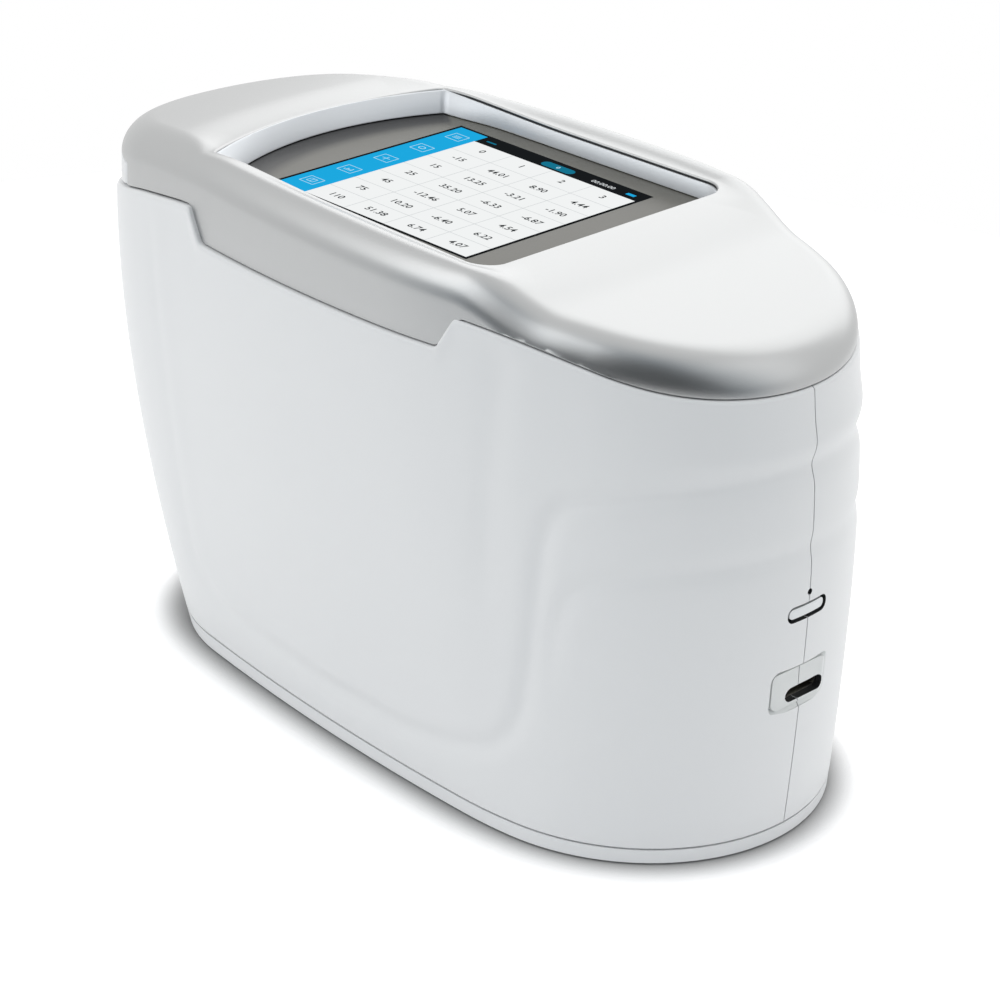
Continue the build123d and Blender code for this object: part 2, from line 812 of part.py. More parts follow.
def fibre_points(index, angle):
    """The bends of one fibre: out of its tube, under the frame's top and up into its own ferrule hole."""
    rank = index - receiver_angles.index(0)
    entry = aperture_x + rank * fibre_pitch
    points = [radial(tube_end - fibre_insert, angle), radial(tube_end + fibre_insert, angle)]
    if abs(angle) > lamp_angle:
        beside = frame_x0 - fibre_run if angle < 0 else frame_x1 + fibre_run
        points.append(Vector(beside, 0, tube_end))
        points.append(Vector(entry, 0, frame_top - fibre_step))
    else:
        points.append(Vector(entry, 0, frame_top - fibre_run - fibre_step * (2 - abs(rank))))
    points.append(Vector(entry, 0, case_z + fibre_insert))
    return points


def build_fibres():
    """One fibre from the back of each receiver; the one that looks straight down has no bend."""
    fibres = []
    for index, angle in enumerate(receiver_angles):
        points = fibre_points(index, angle)
        if angle == 0:
            fibres.append(rod(fibre_radius, points[0], (0, 0, 1), points[-1].Z - points[0].Z))
            continue
        path = FilletPolyline(*points, radius=corner_radii(points))
        fibres.append(sweep(Plane(origin=points[0], z_dir=ray(angle)) * Circle(fibre_radius), path=path))
    return fibres


def fibre_span():
    middle = receiver_angles.index(0)
    first = aperture_x - middle * fibre_pitch
    last = aperture_x + (len(receiver_angles) - 1 - middle) * fibre_pitch
    return first, last


def build_ferrule():
    first, last = fibre_span()
    ferrule = block(first - fibre_pitch, last + fibre_pitch, -ferrule_half_width, ferrule_half_width,
                    case_z, case_z + ferrule_height)
    for index in range(len(receiver_angles)):
        ferrule -= bore(first + index * fibre_pitch, 0, case_z, case_z + fibre_insert, fibre_radius + optic_fit)
    return ferrule


def build_optics_frame():
    """A sheet bent into a bridge over the arch, with windows in its sides and feet turned outwards."""
    outside = block(frame_x0, frame_x1, -frame_half_width, frame_half_width, plate_top, frame_top)
    inside = block(frame_x0 - 1, frame_x1 + 1, frame_sheet - frame_half_width, frame_half_width - frame_sheet,
                   plate_top - 1, frame_top - frame_sheet)
    bends = outside.edges().filter_by(Axis.X).group_by(Axis.Z)[-1]
    inner_bends = inside.edges().filter_by(Axis.X).group_by(Axis.Z)[-1]
    frame = fillet(bends, 2 * frame_sheet) - fillet(inner_bends, frame_sheet)
    for side in (-1, 1):
        y0 = side * (frame_half_width - frame_sheet)
        y1 = side * (frame_half_width + frame_flange)
        frame += block(frame_x0, frame_x1, min(y0, y1), max(y0, y1), plate_top, plate_top + frame_sheet)
    low = plate_top + frame_window_low
    high = frame_top - frame_window_high
    side = frame_window_side
    corners = [
        (frame_x0 + side, low),
        (frame_x1 - side, low),
        (frame_x1 - 2 * side, high),
        (frame_x0 + 2 * side, high),
    ]
    opening = Polyline(*[point(x, z) for x, z in corners], close=True)
    window = make_face(opening)
    window = fillet(window.vertices(), frame_window_corner)
    frame -= extrude(window, amount=width, dir=(0, 1, 0), both=True)
    first, last = fibre_span()
    frame -= block(first - fibre_pitch, last + fibre_pitch, -ferrule_half_width, ferrule_half_width,
                   frame_top - frame_sheet - 1, frame_top + 1)
    for x, y in frame_points():
        frame -= bore(x, y, plate_top, plate_top + frame_sheet, small_shank + screw_fit)
    return frame


def case_box(inset, z0, z1):
    return block(case_x - case_length / 2 + inset, case_x + case_length / 2 - inset,
                 inset - case_half_width, case_half_width - inset, z0, z1)


def build_spectrograph_case():
    block_form = case_box(0, frame_top, case_top())
    case = fillet(block_form.edges().filter_by(Axis.Z), case_wall)
    case -= case_box(case_wall, case_z, case_top() + 1)
    for x, y in case_points():
        case += bore(x, y, case_z, case_top(), small_head + shell_gap)
    first, last = fibre_span()
    reach = fibre_radius + slide_fit
    case -= block(first - reach, last + reach, -reach, reach, frame_top - 1, case_z + 1)
    for x, y in case_points():
        case -= bore(x, y, case_top() - small_length, case_top(), small_shank + screw_fit)
    return case


def case_top():
    return frame_top + case_height


def case_points():
    x = case_length / 2 - case_wall - small_head
    y = case_half_width - case_wall - small_head
    return [(case_x + sx * x, sy * y) for sx in (-1, 1) for sy in (-1, 1)]


def build_grating():
    """A concave grating: a glass block with a hollow ground face towards the fibres."""
    x1 = case_x + case_length / 2 - case_wall
    glass = block(x1 - grating_thickness, x1, -grating_width / 2, grating_width / 2, case_z,
                  case_z + case_height - 2 * case_wall)
    hollow = bore(x1 - grating_thickness / 2 - grating_radius, 0, case_z - 1, case_top(), grating_radius)
    return glass - hollow


def build_sensor_board():
    x0 = case_x - case_length / 2 + case_wall
    top = case_z + case_height - 2 * case_wall
    board = block(x0, x0 + board_thickness, -sensor_length / 2, sensor_length / 2, case_z, top)
    half = sensor_length / 2 - sensor_inset
    face_x = x0 + board_thickness
    chip = block(face_x, face_x + board_thickness, -half, half, case_z + sensor_rise, top - sensor_rise)
    return board + chip


def battery_plan(grow, z0, z1):
    long_side = 2 * (cell_pitch + cell_radius + grow)
    short_side = 2 * (cell_radius + grow)
    slot = Pos(battery_x, 0, z0) * Rot(0, 0, 90) * SlotOverall(long_side, short_side)
    return extrude(slot, amount=z1 - z0, dir=(0, 0, 1))


def cell_bores(z0, z1, radius):
    return [bore(battery_x, index * cell_pitch, z0, z1, radius) for index in (-1, 0, 1)]


def build_cells():
    """Three round cells that stand side by side, each with its raised contact."""
    bottom = plate_top + holder_floor
    cells = []
    top = bottom + cell_length
    for index in (-1, 0, 1):
        y = index * cell_pitch
        body = bore(battery_x, y, bottom, top - cell_contact, cell_radius)
        body = chamfer(body.edges().group_by(Axis.Z)[-1], cell_bevel)
        contact = bore(battery_x, y, top - 2 * cell_contact, top, cell_radius / 3)
        cells.append(body + contact)
    return cells


def build_battery_holder():
    top = plate_top + holder_height
    holder = battery_plan(holder_wall + optic_fit, plate_top, top)
    for pocket in cell_bores(plate_top + holder_floor, top, cell_radius + optic_fit):
        holder -= pocket
    for x, y in holder_points():
        holder += bore(x, y, plate_top, plate_top + holder_floor, small_head)
        holder -= bore(x, y, plate_top, top, small_head + slide_fit) & slab(plate_top + holder_floor, top)
        holder -= bore(x, y, plate_top, top, small_shank + screw_fit)
    return holder


def build_battery_cap():
    seat = plate_top + holder_floor + cell_length
    cap = battery_plan(holder_wall + optic_fit, seat - cap_height + holder_floor, seat + holder_floor)
    for pocket in cell_bores(seat - cap_height, seat, cell_radius + optic_fit):
        cap -= pocket
    return cap


def build_display_tray():
    """The carrier under the display: a shallow tray with ears, and posts for the main board."""
    tray = well_prism(well_wall, tray_bottom, ledge_bottom)
    for x, y in tray_points:
        tray += bore(x, y, tray_bottom, ledge_bottom, tray_ear_radius)
    tray -= well_prism(0, tray_bottom + tray_floor, ledge_bottom + 1)
    for x, y in tray_points:
        tray -= bore(x, y, tray_bottom, ledge_bottom, small_shank + screw_fit)
    screw_end = board_top - board_thickness + small_length + screw_fit
    for x, y in board_points:
        tray += bore(x, y, board_top, tray_bottom, board_post_radius)
        tray -= bore(x, y, board_top, screw_end, small_shank + screw_fit)
    return tray


def build_main_board():
    half_x = main_board_length / 2
    half_y = main_board_width / 2
    bottom = board_top - board_thickness
    board = block(panel_x - half_x, panel_x + half_x, -half_y, half_y, bottom, board_top)
    chips = (
        (-20, 6, 14, 14, 1.4),
        (4, 8, 12, 10, 1.2),
        (4, -12, 10, 8, 1.2),
        (-22, -16, 8, 12, 1.2),
        (30, 0, 6, 22, 2.2),
    )
    for x, y, size_x, size_y, deep in chips:
        board += block(panel_x + x - size_x / 2, panel_x + x + size_x / 2, y - size_y / 2, y + size_y / 2,
                       bottom - deep, bottom)
    for x, y in board_points:
        board -= bore(x, y, bottom, board_top, small_shank + screw_fit)
    return board


def io_face():
    return io_board_x + board_thickness


def key_plunger_x():
    return io_face() + switch_depth + plunger_proud


def build_power_key():
    """The power key: a slim face in the wall's slot, a flange behind the wall and a stem to the switch."""
    gap = 2 * key_gap
    flange_x = length / 2 - wall - key_flange
    face = slot_prism(0, key_z, key_width - gap, key_height - gap, flange_x - key_flange / 2, length / 2,
                      key_corner)
    key = face & side_form(key_gap)
    key += slot_prism(0, key_z, key_width + gap, key_height + gap, flange_x - key_flange, flange_x, key_gap * 2)
    stem_start = key_plunger_x() + screw_fit
    key += rod(key_stem_radius, (stem_start, 0, key_z), (1, 0, 0), flange_x - stem_start)
    return key


def build_power_switch():
    half = switch_side / 2
    front = io_face() + switch_depth
    switch = block(io_face(), front, -half, half, key_z - half, key_z + half)
    switch -= rod(plunger_radius + optic_fit, (front - plunger_length(), 0, key_z), (1, 0, 0), plunger_length())
    return switch


def plunger_length():
    """Depth of the switch's bore: the plunger's held end and its travel."""
    return plunger_hold + key_travel + 2 * optic_fit


def build_power_plunger():
    start = io_face() + switch_depth - plunger_hold
    return rod(plunger_radius, (start, 0, key_z), (1, 0, 0), plunger_hold + plunger_proud)


def build_reset_switch():
    half = reset_side / 2
    front = io_face() + reset_depth
    deep = reset_hold + reset_travel + 2 * optic_fit
    switch = block(io_face(), front, -half, half, pinhole_z - half, pinhole_z + half)
    switch -= rod(reset_radius() + optic_fit, (front - deep, 0, pinhole_z), (1, 0, 0), deep)
    return switch


def reset_radius():
    return pinhole_radius + optic_fit


def build_reset_plunger():
    front = io_face() + reset_depth
    start = front - reset_hold
    return rod(reset_radius(), (start, 0, pinhole_z), (1, 0, 0), reset_hold + 2 * reset_travel)


def build_io_board():
    half = io_half_width
    return block(io_board_x, io_face(), -half, half, io_z0, io_z1)


def build_data_socket():
    """The metal mouth of the data and charging socket, with its contact tongue."""
    front = length / 2 - pocket_depth - socket_back
    shell = slot_prism(socket_y, socket_z, socket_width, socket_height, io_face(), front, socket_corner)
    sheet = 2 * socket_sheet
    shell -= slot_prism(socket_y, socket_z, socket_width - sheet, socket_height - sheet,
                        io_face() + tongue_margin, front + 1, socket_corner - socket_sheet)
    shell += slot_prism(socket_y, socket_z + tongue_offset, socket_width - 2 * tongue_margin, tongue_plate,
                        io_face(), front - tongue_margin, tongue_plate / 3)
    return shell


def build_measure_key(outer, inner):
    """The measure key: a length of the cover's end wall, with two guide pins and a push rod."""
    left_x, right_x = end_centres(waist_z)
    key = (outer - inner) & key_region(0, -screw_fit)
    radius = left_end_radius - cover_inset - cover_wall / 2
    for side in (-1, 1):
        start = left_x - math.sqrt(radius ** 2 - guide_y ** 2)
        key += rod(guide_radius, (start, side * guide_y, measure_z), (1, 0, 0), guide_x + 2 - start)
    key += rod(2 * guide_radius, (left_x - radius, 0, measure_z), (1, 0, 0), measure_contact() - left_x + radius)
    return key


def measure_contact():
    """Where the key's push rod meets the switch's plunger."""
    return guide_x - bracket_sheet - measure_switch_depth - measure_travel - screw_fit


def build_measure_bracket():
    """A bent bracket under the cover: guide holes for the key, a seat for its switch, and a screwed flange."""
    plate_bottom = bracket_top - bracket_height
    bracket = block(guide_x - bracket_sheet, guide_x, -bracket_half_width, bracket_half_width,
                    plate_bottom, bracket_top)
    flange_half = bracket_screw_y + bracket_margin
    bracket += block(guide_x - bracket_sheet, bracket_screw_x + bracket_margin, -flange_half, flange_half,
                     bracket_top - bracket_sheet, bracket_top)
    for side in (-1, 1):
        bracket -= rod(guide_radius + optic_fit, (guide_x - 2 * bracket_sheet, side * guide_y, measure_z),
                       (1, 0, 0), 3 * bracket_sheet)
        bracket -= bore(bracket_screw_x, side * bracket_screw_y, plate_bottom, bracket_top,
                        small_shank + screw_fit)
    return bracket


def build_measure_switch():
    x1 = guide_x - bracket_sheet
    x0 = x1 - measure_switch_depth
    deep = measure_travel + measure_hold + 2 * optic_fit
    half = measure_switch_half
    switch = block(x0, x1, -half, half, measure_z - 0.8 * half, measure_z + 0.8 * half)
    switch -= rod(guide_radius + optic_fit, (x0, 0, measure_z), (1, 0, 0), deep)
    return switch


def build_measure_plunger():
    start = guide_x - bracket_sheet - measure_switch_depth
    return rod(guide_radius, (start - measure_travel, 0, measure_z), (1, 0, 0), measure_travel + measure_hold)


def build_trim():
    """The bright band round the top of the display well's wall."""
    top = height - trim_drop
    band = well_prism(0, top - trim_height, top) - well_prism(-trim_thickness, top - trim_height - 1, top + 1)
    return band


def build_foot_pads():
    pads = []
    for x, y in pad_points():
        pad = bore(x, y, 0, pad_proud + pad_recess, pad_radius)
        pads.append(chamfer(pad.edges().group_by(Axis.Z)[0], 0.25))
    return pads


def build_all():
    outer = cover_form(0)
    inner = cover_form(cover_wall)
    near, far = build_shells()
    screws = (screw_shank, screw_head, screw_head_height, screw_length)
    small = (small_shank, small_head, small_head_height, small_length)
    arch_top = plate_top + arch_foot_height
    flange_top = plate_top + aperture_flange_height
    plate_grip = plate_top - blind_bottom - screw_spare
    holder_screw = (small_shank, small_head, small_head_height, plate_grip + holder_floor)
    frame_screw = (small_shank, small_head, small_head_height, plate_grip + frame_sheet)
    ring_screw = (small_shank, small_head, small_head_height, plate_grip + aperture_flange_height)
    case_lid = case_box(0, case_top(), case_top() + lid_thickness)
    for x, y in case_points():
        case_lid -= bore(x, y, case_top(), case_top() + lid_thickness, small_shank + screw_fit)
    return {
        "top_cover": build_top_cover(outer, inner),
        "near_shell": near,
        "far_shell": far,
        "base_plate": build_base_plate(),
        "foot_pads": group(build_foot_pads()),
        "aperture_ring": build_aperture_ring(),
        "aperture_window": bore(aperture_x, 0, aperture_depth, aperture_depth + window_thickness, window_radius),
        "optics_arch": build_optics_arch(),
        "receiver_tubes": group(receiver_tube(angle) for angle in receiver_angles),
        "receiver_lenses": group(
            lens(lens_radius, lens_edge, lens_crown, angle, tube_start) for angle in receiver_angles),
        "lamp_holder": build_lamp_holder(),
        "lamp_lens": lens(lamp_lens_radius, 2 * lens_edge, lens_crown, lamp_angle, tube_start),
        "lamp_unit": build_lamp(),
        "fibre_bundle": group(build_fibres()),
        "fibre_ferrule": build_ferrule(),
        "optics_frame": build_optics_frame(),
        "spectrograph_case": build_spectrograph_case(),
        "spectrograph_lid": case_lid,
        "grating": build_grating(),
        "sensor_board": build_sensor_board(),
        "battery_holder": build_battery_holder(),
        "battery_cells": group(build_cells()),
        "battery_cap": build_battery_cap(),
        "display_window": well_prism(-glass_fit, glass_bottom, glass_top),
        "display_panel": block(panel_x - panel_length / 2, panel_x + panel_length / 2, -panel_width / 2,
                               panel_width / 2, glass_bottom - panel_thickness, glass_bottom),
        "display_trim": build_trim(),
        "display_tray": build_display_tray(),
        "main_board": build_main_board(),
        "io_board": build_io_board(),
        "data_socket": build_data_socket(),
        "power_key": build_power_key(),
        "power_switch": build_power_switch(),
        "power_plunger": build_power_plunger(),
        "reset_switch": build_reset_switch(),
        "reset_plunger": build_reset_plunger(),
        "measure_key": build_measure_key(outer, inner),
        "measure_bracket": build_measure_bracket(),
        "measure_switch": build_measure_switch(),
        "measure_plunger": build_measure_plunger(),
        "base_screws": group(screw(x, y, base_screw_z(), True, *screws) for x, y, turn in base_boss_points()),
        "cover_screws": group(screw(x, y, lug_z0, True, *screws) for x, y in lug_points),
        "arch_screws": group(screw(x, y, arch_top, False, *screws) for x, y in arch_points()),
        "frame_screws": group(
            screw(x, y, plate_top + frame_sheet, False, *frame_screw) for x, y in frame_points()),
        "ring_screws": group(
            screw(x, y, flange_top, False, *ring_screw) for x, y in ring_points()),
        "holder_screws": group(
            screw(x, y, plate_top + holder_floor, False, *holder_screw) for x, y in holder_points()),
        "lid_screws": group(
            screw(x, y, case_top() + lid_thickness, False, *small) for x, y in case_points()),
        "tray_screws": group(screw(x, y, tray_bottom, True, *small) for x, y in tray_points),
        "board_screws": group(screw(x, y, board_top - board_thickness, True, *small) for x, y in board_points),
        "bracket_screws": group(
            screw(bracket_screw_x, side * bracket_screw_y, bracket_top - bracket_sheet, True, *small)
            for side in (-1, 1)),
    }


os.makedirs("parts", exist_ok=True)
for name, shape in build_all().items():
    export_step(shape, f"parts/{name}.step")
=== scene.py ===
import json
import math

import bmesh
import bpy
import numpy as np
from mathutils import Euler, Matrix, Vector


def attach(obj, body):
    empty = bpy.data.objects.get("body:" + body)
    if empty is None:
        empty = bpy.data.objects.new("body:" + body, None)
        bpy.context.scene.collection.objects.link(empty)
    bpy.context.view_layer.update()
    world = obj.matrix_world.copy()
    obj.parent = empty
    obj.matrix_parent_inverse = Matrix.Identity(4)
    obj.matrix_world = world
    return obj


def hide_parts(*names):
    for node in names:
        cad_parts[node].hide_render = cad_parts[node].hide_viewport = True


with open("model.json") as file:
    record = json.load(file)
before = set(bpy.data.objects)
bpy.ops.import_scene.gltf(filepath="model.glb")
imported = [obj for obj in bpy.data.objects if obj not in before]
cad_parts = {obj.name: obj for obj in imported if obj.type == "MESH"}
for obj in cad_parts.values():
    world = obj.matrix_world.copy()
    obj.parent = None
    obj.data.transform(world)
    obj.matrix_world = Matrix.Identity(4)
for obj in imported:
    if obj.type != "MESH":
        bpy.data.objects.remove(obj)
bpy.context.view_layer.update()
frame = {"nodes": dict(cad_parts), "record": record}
nodes = frame["nodes"]
print("frame loaded:", len(nodes), "nodes")

mm = 0.001

# the housing's plan outline is six tangent arcs at every height; the sizes follow the solids
housing = {
    "length": 211.4,
    "width": 102.0,
    "height": 130.0,
    "waist": 105.0,           # height of the widest plan
    "baseNarrowing": 4.0,
    "narrowPower": 1.5,
    "leftRadius": 40.0,
    "leftLean": 27.8,
    "leanPower": 1.8,
    "bulge": 50.0,            # height where the port end reaches furthest
    "rightRise": 1.3,
    "rightFall": 3.6,
    "rightRadiusBase": 46.5,
    "rightRadiusTop": 44.0,
    "widestBase": 50.0,
    "widestTop": 20.0,
    "blendEnd": 1.25,         # the plan goes on changing up to this share of the waist's height
    "bottom": 4.1,            # where the shells start, above the base plate
    "seam": 0.15,             # half the gap between the two shells
    "wall": 2.6,
}


def planSizes(z):
    # ends, half width, widest place and end radii of the plan at heights z
    h = housing
    above = np.abs(1 - z / h["waist"])
    xLeft = -h["length"] / 2 + h["leftLean"] * above ** h["leanPower"]
    up = h["rightFall"] * ((z - h["bulge"]) / (h["waist"] - h["bulge"])) ** 2
    down = h["rightRise"] * (1 - z / h["bulge"]) ** 2
    xRight = h["length"] / 2 - np.where(z > h["bulge"], up, down)
    half = h["width"] / 2 - h["baseNarrowing"] * above ** h["narrowPower"]
    share = np.minimum(z / h["waist"], h["blendEnd"])
    widest = h["widestBase"] + (h["widestTop"] - h["widestBase"]) * share
    rRight = h["rightRadiusBase"] + (h["rightRadiusTop"] - h["rightRadiusBase"]) * share ** 2
    return xLeft, xRight, half, widest, h["leftRadius"] + 0 * z, rRight


def planArcs(z):
    # one side's four arcs from the port end to the left end, each as centre, radius and the
    # direction of the normal where it ends; a big arc touches its end arc and the widest line
    xLeft, xRight, half, widest, rLeft, rRight = planSizes(z)
    spanL = widest - xLeft - rLeft
    spanR = xRight - rRight - widest
    bigL = (spanL ** 2 + half ** 2 - rLeft ** 2) / (2 * (half - rLeft))
    bigR = (spanR ** 2 + half ** 2 - rRight ** 2) / (2 * (half - rRight))
    return [
        (xRight - rRight, 0 * z, rRight, np.arctan2(bigR - half, spanR)),
        (widest, half - bigR, bigR, math.pi / 2),
        (widest, half - bigL, bigL, np.arctan2(bigL - half, -spanL)),
        (xLeft + rLeft, 0 * z, rLeft, math.pi),
    ]


def planPoint(turn, z, inset):
    # a point of the outline from the direction of its outward normal: that direction picks the
    # arc, and the point is the arc's centre plus its radius, less the inset, along the direction
    turn, z, inset = np.broadcast_arrays(turn, z, inset)
    arcs = planArcs(z)
    a = np.abs(turn)
    inArc = [a < arc[3] for arc in arcs[:3]]
    cx, cy, r = (np.select(inArc, [arc[k] for arc in arcs[:3]], arcs[3][k]) for k in range(3))
    side = np.where(turn < 0, -1.0, 1.0)
    return cx + (r - inset) * np.cos(a), side * (cy + (r - inset) * np.sin(a))


def spacedTurns(first, last, count, crowd):
    # normal directions whose points lie evenly along the waist outline, closer where crowd is more
    fine = np.linspace(first, last, 40001)
    x, y = planPoint(fine, housing["waist"], 0.0)
    middle = (x[1:] + x[:-1]) / 2
    run = np.concatenate([[0], np.cumsum(np.hypot(np.diff(x), np.diff(y)) * crowd(middle))])
    return np.interp(np.linspace(0, run[-1], count), run, fine)


def smoothStep(a, b, v):
    # 0 below a, 1 above b, and three t squared less two t cubed between
    t = np.clip((v - a) / (b - a), 0, 1)
    return t * t * (3 - 2 * t)


def bell(away, width):
    return np.exp(-(away / width) ** 2)


def blurred(x, y, width):
    # a curve with its corners rounded: each value is the bell-weighted mean of its neighbours
    step = x[1] - x[0]
    reach = int(3 * width / step)
    weight = np.exp(-0.5 * (np.arange(-reach, reach + 1) * step / width) ** 2)
    return np.convolve(np.pad(y, reach, mode="edge"), weight / weight.sum(), mode="valid")


curveStep = 0.1               # spacing of the samples along the profiles

# the line where the silver cover meets the white shells, as heights over x
parting = {
    "left": [(-120, 101.4), (-110.7, 103.5), (-96.7, 105.8), (-75, 112), (-50, 117)],
    "lobe": [(-44, 109), (37, 111.3)],
    "right": [(43, 119.3), (54, 118.6), (64, 117.2), (77, 114.7), (84.5, 112.7), (98, 110.3),
              (120, 108.9)],
    "soft": 5.0,
    "corner": 0.55,
}


def partingCurve():
    # soft curves at both ends, straight lines down to the lobe, along it and up again between them
    p = parting
    x = np.arange(p["left"][0][0], p["right"][-1][0], curveStep)
    left = blurred(x, np.interp(x, *zip(*p["left"])), p["soft"])
    right = blurred(x, np.interp(x, *zip(*p["right"])), p["soft"])
    line = np.interp(x, *zip(*([p["left"][-1]] + p["lobe"] + [p["right"][0]])))
    z = np.where(x < p["left"][-1][0], left, np.where(x > p["right"][0][0], right, line))
    return x, blurred(x, z, p["corner"])


partingX, partingZ = partingCurve()


def partingHeight(x):
    return np.interp(x, partingX, partingZ)


# the cover's top profile along x
profile = {
    "leftMid": (-80.0, 125.5),
    "leftEnd": (-115.7, 116.0),
    "flat": (-40.0, 40.0),
    "stepEnd": (63.0, 123.7),
    "noseMid": (92.0, 120.0),
    "noseEnd": (115.7, 114.7),
    "soft": 1.6,
}


def arcThrough(p, q, r, x):
    # height over x of the upper circle through three points
    (x1, y1), (x2, y2), (x3, y3) = p, q, r
    d = 2 * (x1 * (y2 - y3) + x2 * (y3 - y1) + x3 * (y1 - y2))
    s1, s2, s3 = x1 ** 2 + y1 ** 2, x2 ** 2 + y2 ** 2, x3 ** 2 + y3 ** 2
    cx = (s1 * (y2 - y3) + s2 * (y3 - y1) + s3 * (y1 - y2)) / d
    cy = (s1 * (x3 - x2) + s2 * (x1 - x3) + s3 * (x2 - x1)) / d
    return cy + np.sqrt(np.maximum((x1 - cx) ** 2 + (y1 - cy) ** 2 - (x - cx) ** 2, 0))


def topCurve():
    # an arc from the left end to the flat, the flat, a smooth step down and the nose's arc
    p = profile
    top = housing["height"]
    x = np.arange(p["leftEnd"][0], p["noseEnd"][0], curveStep)
    left = arcThrough(p["leftEnd"], p["leftMid"], (p["flat"][0], top), x)
    nose = arcThrough(p["stepEnd"], p["noseMid"], p["noseEnd"], x)
    step = top - (top - p["stepEnd"][1]) * smoothStep(p["flat"][1], p["stepEnd"][0], x)
    z = np.where(x < p["flat"][0], left, np.where(x < p["stepEnd"][0], step, nose))
    return x, blurred(x, z, p["soft"])


topX, topZ = topCurve()


def topHeight(x):
    return np.interp(x, topX, topZ)


def newObject(name, data):
    obj = bpy.data.objects.new(name, data)
    bpy.context.scene.collection.objects.link(obj)
    return obj


def resultMesh(obj):
    # the mesh that an object's cuts or figures come to
    bpy.context.view_layer.update()
    return bpy.data.meshes.new_from_object(
        obj.evaluated_get(bpy.context.evaluated_depsgraph_get()))


def turnOut(mesh):
    # makes a closed mesh's faces point outwards
    work = bmesh.new()
    work.from_mesh(mesh)
    bmesh.ops.recalc_face_normals(work, faces=work.faces)
    work.to_mesh(mesh)
    work.free()


def newMesh(name, points, faces, body, slots, stands=(), slotIndex=None, sharp=None,
            closed=True):
    # puts computed points (mm) and faces into a mesh that rides on a body
    mesh = bpy.data.meshes.new(name)
    mesh.from_pydata((np.asarray(points, float).reshape(-1, 3) * mm).tolist(), [], faces)
    for m in slots:
        mesh.materials.append(m)
    if slotIndex is not None:
        mesh.polygons.foreach_set("material_index", np.asarray(slotIndex, np.int32))
    mesh.shade_smooth()
    mesh.validate()
    if closed:
        turnOut(mesh)
    mesh.update()
    obj = newObject(name, mesh)
    if sharp is not None:
        mesh.set_sharp_from_angle(angle=math.radians(sharp))
    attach(obj, body)
    if stands:
        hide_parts(*stands)
    return obj


def gridFaces(rows, columns, wrapRows, wrapColumns):
    # quads of a grid whose points are numbered row by row
    r = np.arange(rows if wrapRows else rows - 1)
    c = np.arange(columns if wrapColumns else columns - 1)
    r0, c0 = np.meshgrid(r, c, indexing="ij")
    r1, c1 = (r0 + 1) % rows, (c0 + 1) % columns
    corners = [r0 * columns + c0, r0 * columns + c1, r1 * columns + c1, r1 * columns + c0]
    return np.stack(corners, -1).reshape(-1, 4).tolist()


def closedStrip(points):
    # faces of a tube-like grid that wraps over its rows and has a cap at each end column
    rows, columns = points.shape[:2]
    faces = gridFaces(rows, columns, True, False)
    faces.append([r * columns for r in range(rows)])
    faces.append([r * columns + columns - 1 for r in range(rows - 1, -1, -1)])
    return faces


def cappedRings(rings):
    # points and faces of a closed form through rings, with a cap on the first and on the last
    points = np.concatenate(rings)
    n = len(rings[0])
    caps = [list(range(n))[::-1], list(range(len(points) - n, len(points)))]
    return points, gridFaces(len(rings), n, False, True) + caps


# soft moulded relief on the shells, as lines in side view (x, z): a sunk grip panel on each long
# side, edged by a crease that runs on round the port end, and a second fold under it
relief = {
    "crease": [(112, 93.0), (103.4, 92.6), (95, 91.0), (87.7, 89.8), (79, 87.8), (71.8, 84.9),
               (68.3, 80.8), (66.9, 74), (66.4, 60), (65.8, 45.7), (65.2, 35.4), (63, 27.4),
               (58.7, 22.2), (51.7, 18.6), (42, 16.1), (28.5, 14.2), (4, 13.6), (-24, 14.8),
               (-41.4, 16.6), (-51, 23), (-55, 36), (-60, 60), (-65, 90), (-70, 130)],
    "creaseDepth": 1.0,
    "creaseSoft": 2.8,
    "creaseTop": (100.0, 116.0),      # heights between which it dies out
    "creaseLeft": (-55.0, 15.0),      # x between which it grows from its least share to full depth
    "creaseLeast": 0.3,
    "panelRight": [(28.5, 14.2), (51.7, 18.6), (63, 27.4), (65.2, 35.4), (66.4, 60), (66.9, 74),
                   (71.8, 84.9), (71.8, 130)],
    "panelFoot": [(-51, 23), (-24, 14.8), (4, 13.6), (28.5, 14.2), (42, 16.1), (58, 22.2)],
    "panelLeft": [(-44, 16), (-55, 36), (-60, 60), (-65, 90), (-70, 130)],
    "panelTop": (60.0, 84.9),         # right of this x the panel ends at this height
    "panelDepth": 0.45,
    "panelSoft": 9.0,
    "panelFade": ((74.0, 86.0), (42.0, 60.0)),    # heights and x over which its top right runs out
    "fold": [(112, 74), (103, 73.6), (96.5, 72.8), (89, 71.7), (80.6, 69.4), (75, 65.4),
             (72.2, 59.8), (71.2, 49.8), (70.6, 38)],
    "foldDepth": 0.6,
    "foldSoft": 2.6,
    "foldFade": (36.0, 56.0),
    "brow": 98.0,                     # height of the soft ridge over the crease at the port end
    "browHeight": 0.55,
    "browSoft": 3.5,
    "browFrom": (78.0, 98.0),
    "valley": 53.3,                   # x of the shallow upright valley in the grip panel
    "valleyDepth": 0.6,
    "valleySoft": 4.5,
    "valleyFrom": (40.0, 70.0),
    "pathStep": 1.0,
    "pathSoft": 2.5,
}


def smoothPath(corners):
    # a path through corners, resampled evenly and rounded with a bell
    c = np.array(corners, float)
    run = np.concatenate([[0], np.cumsum(np.hypot(*np.diff(c, axis=0).T))])
    even = np.arange(0, run[-1], relief["pathStep"])
    return np.column_stack([blurred(even, np.interp(even, run, c[:, k]), relief["pathSoft"])
                            for k in (0, 1)])


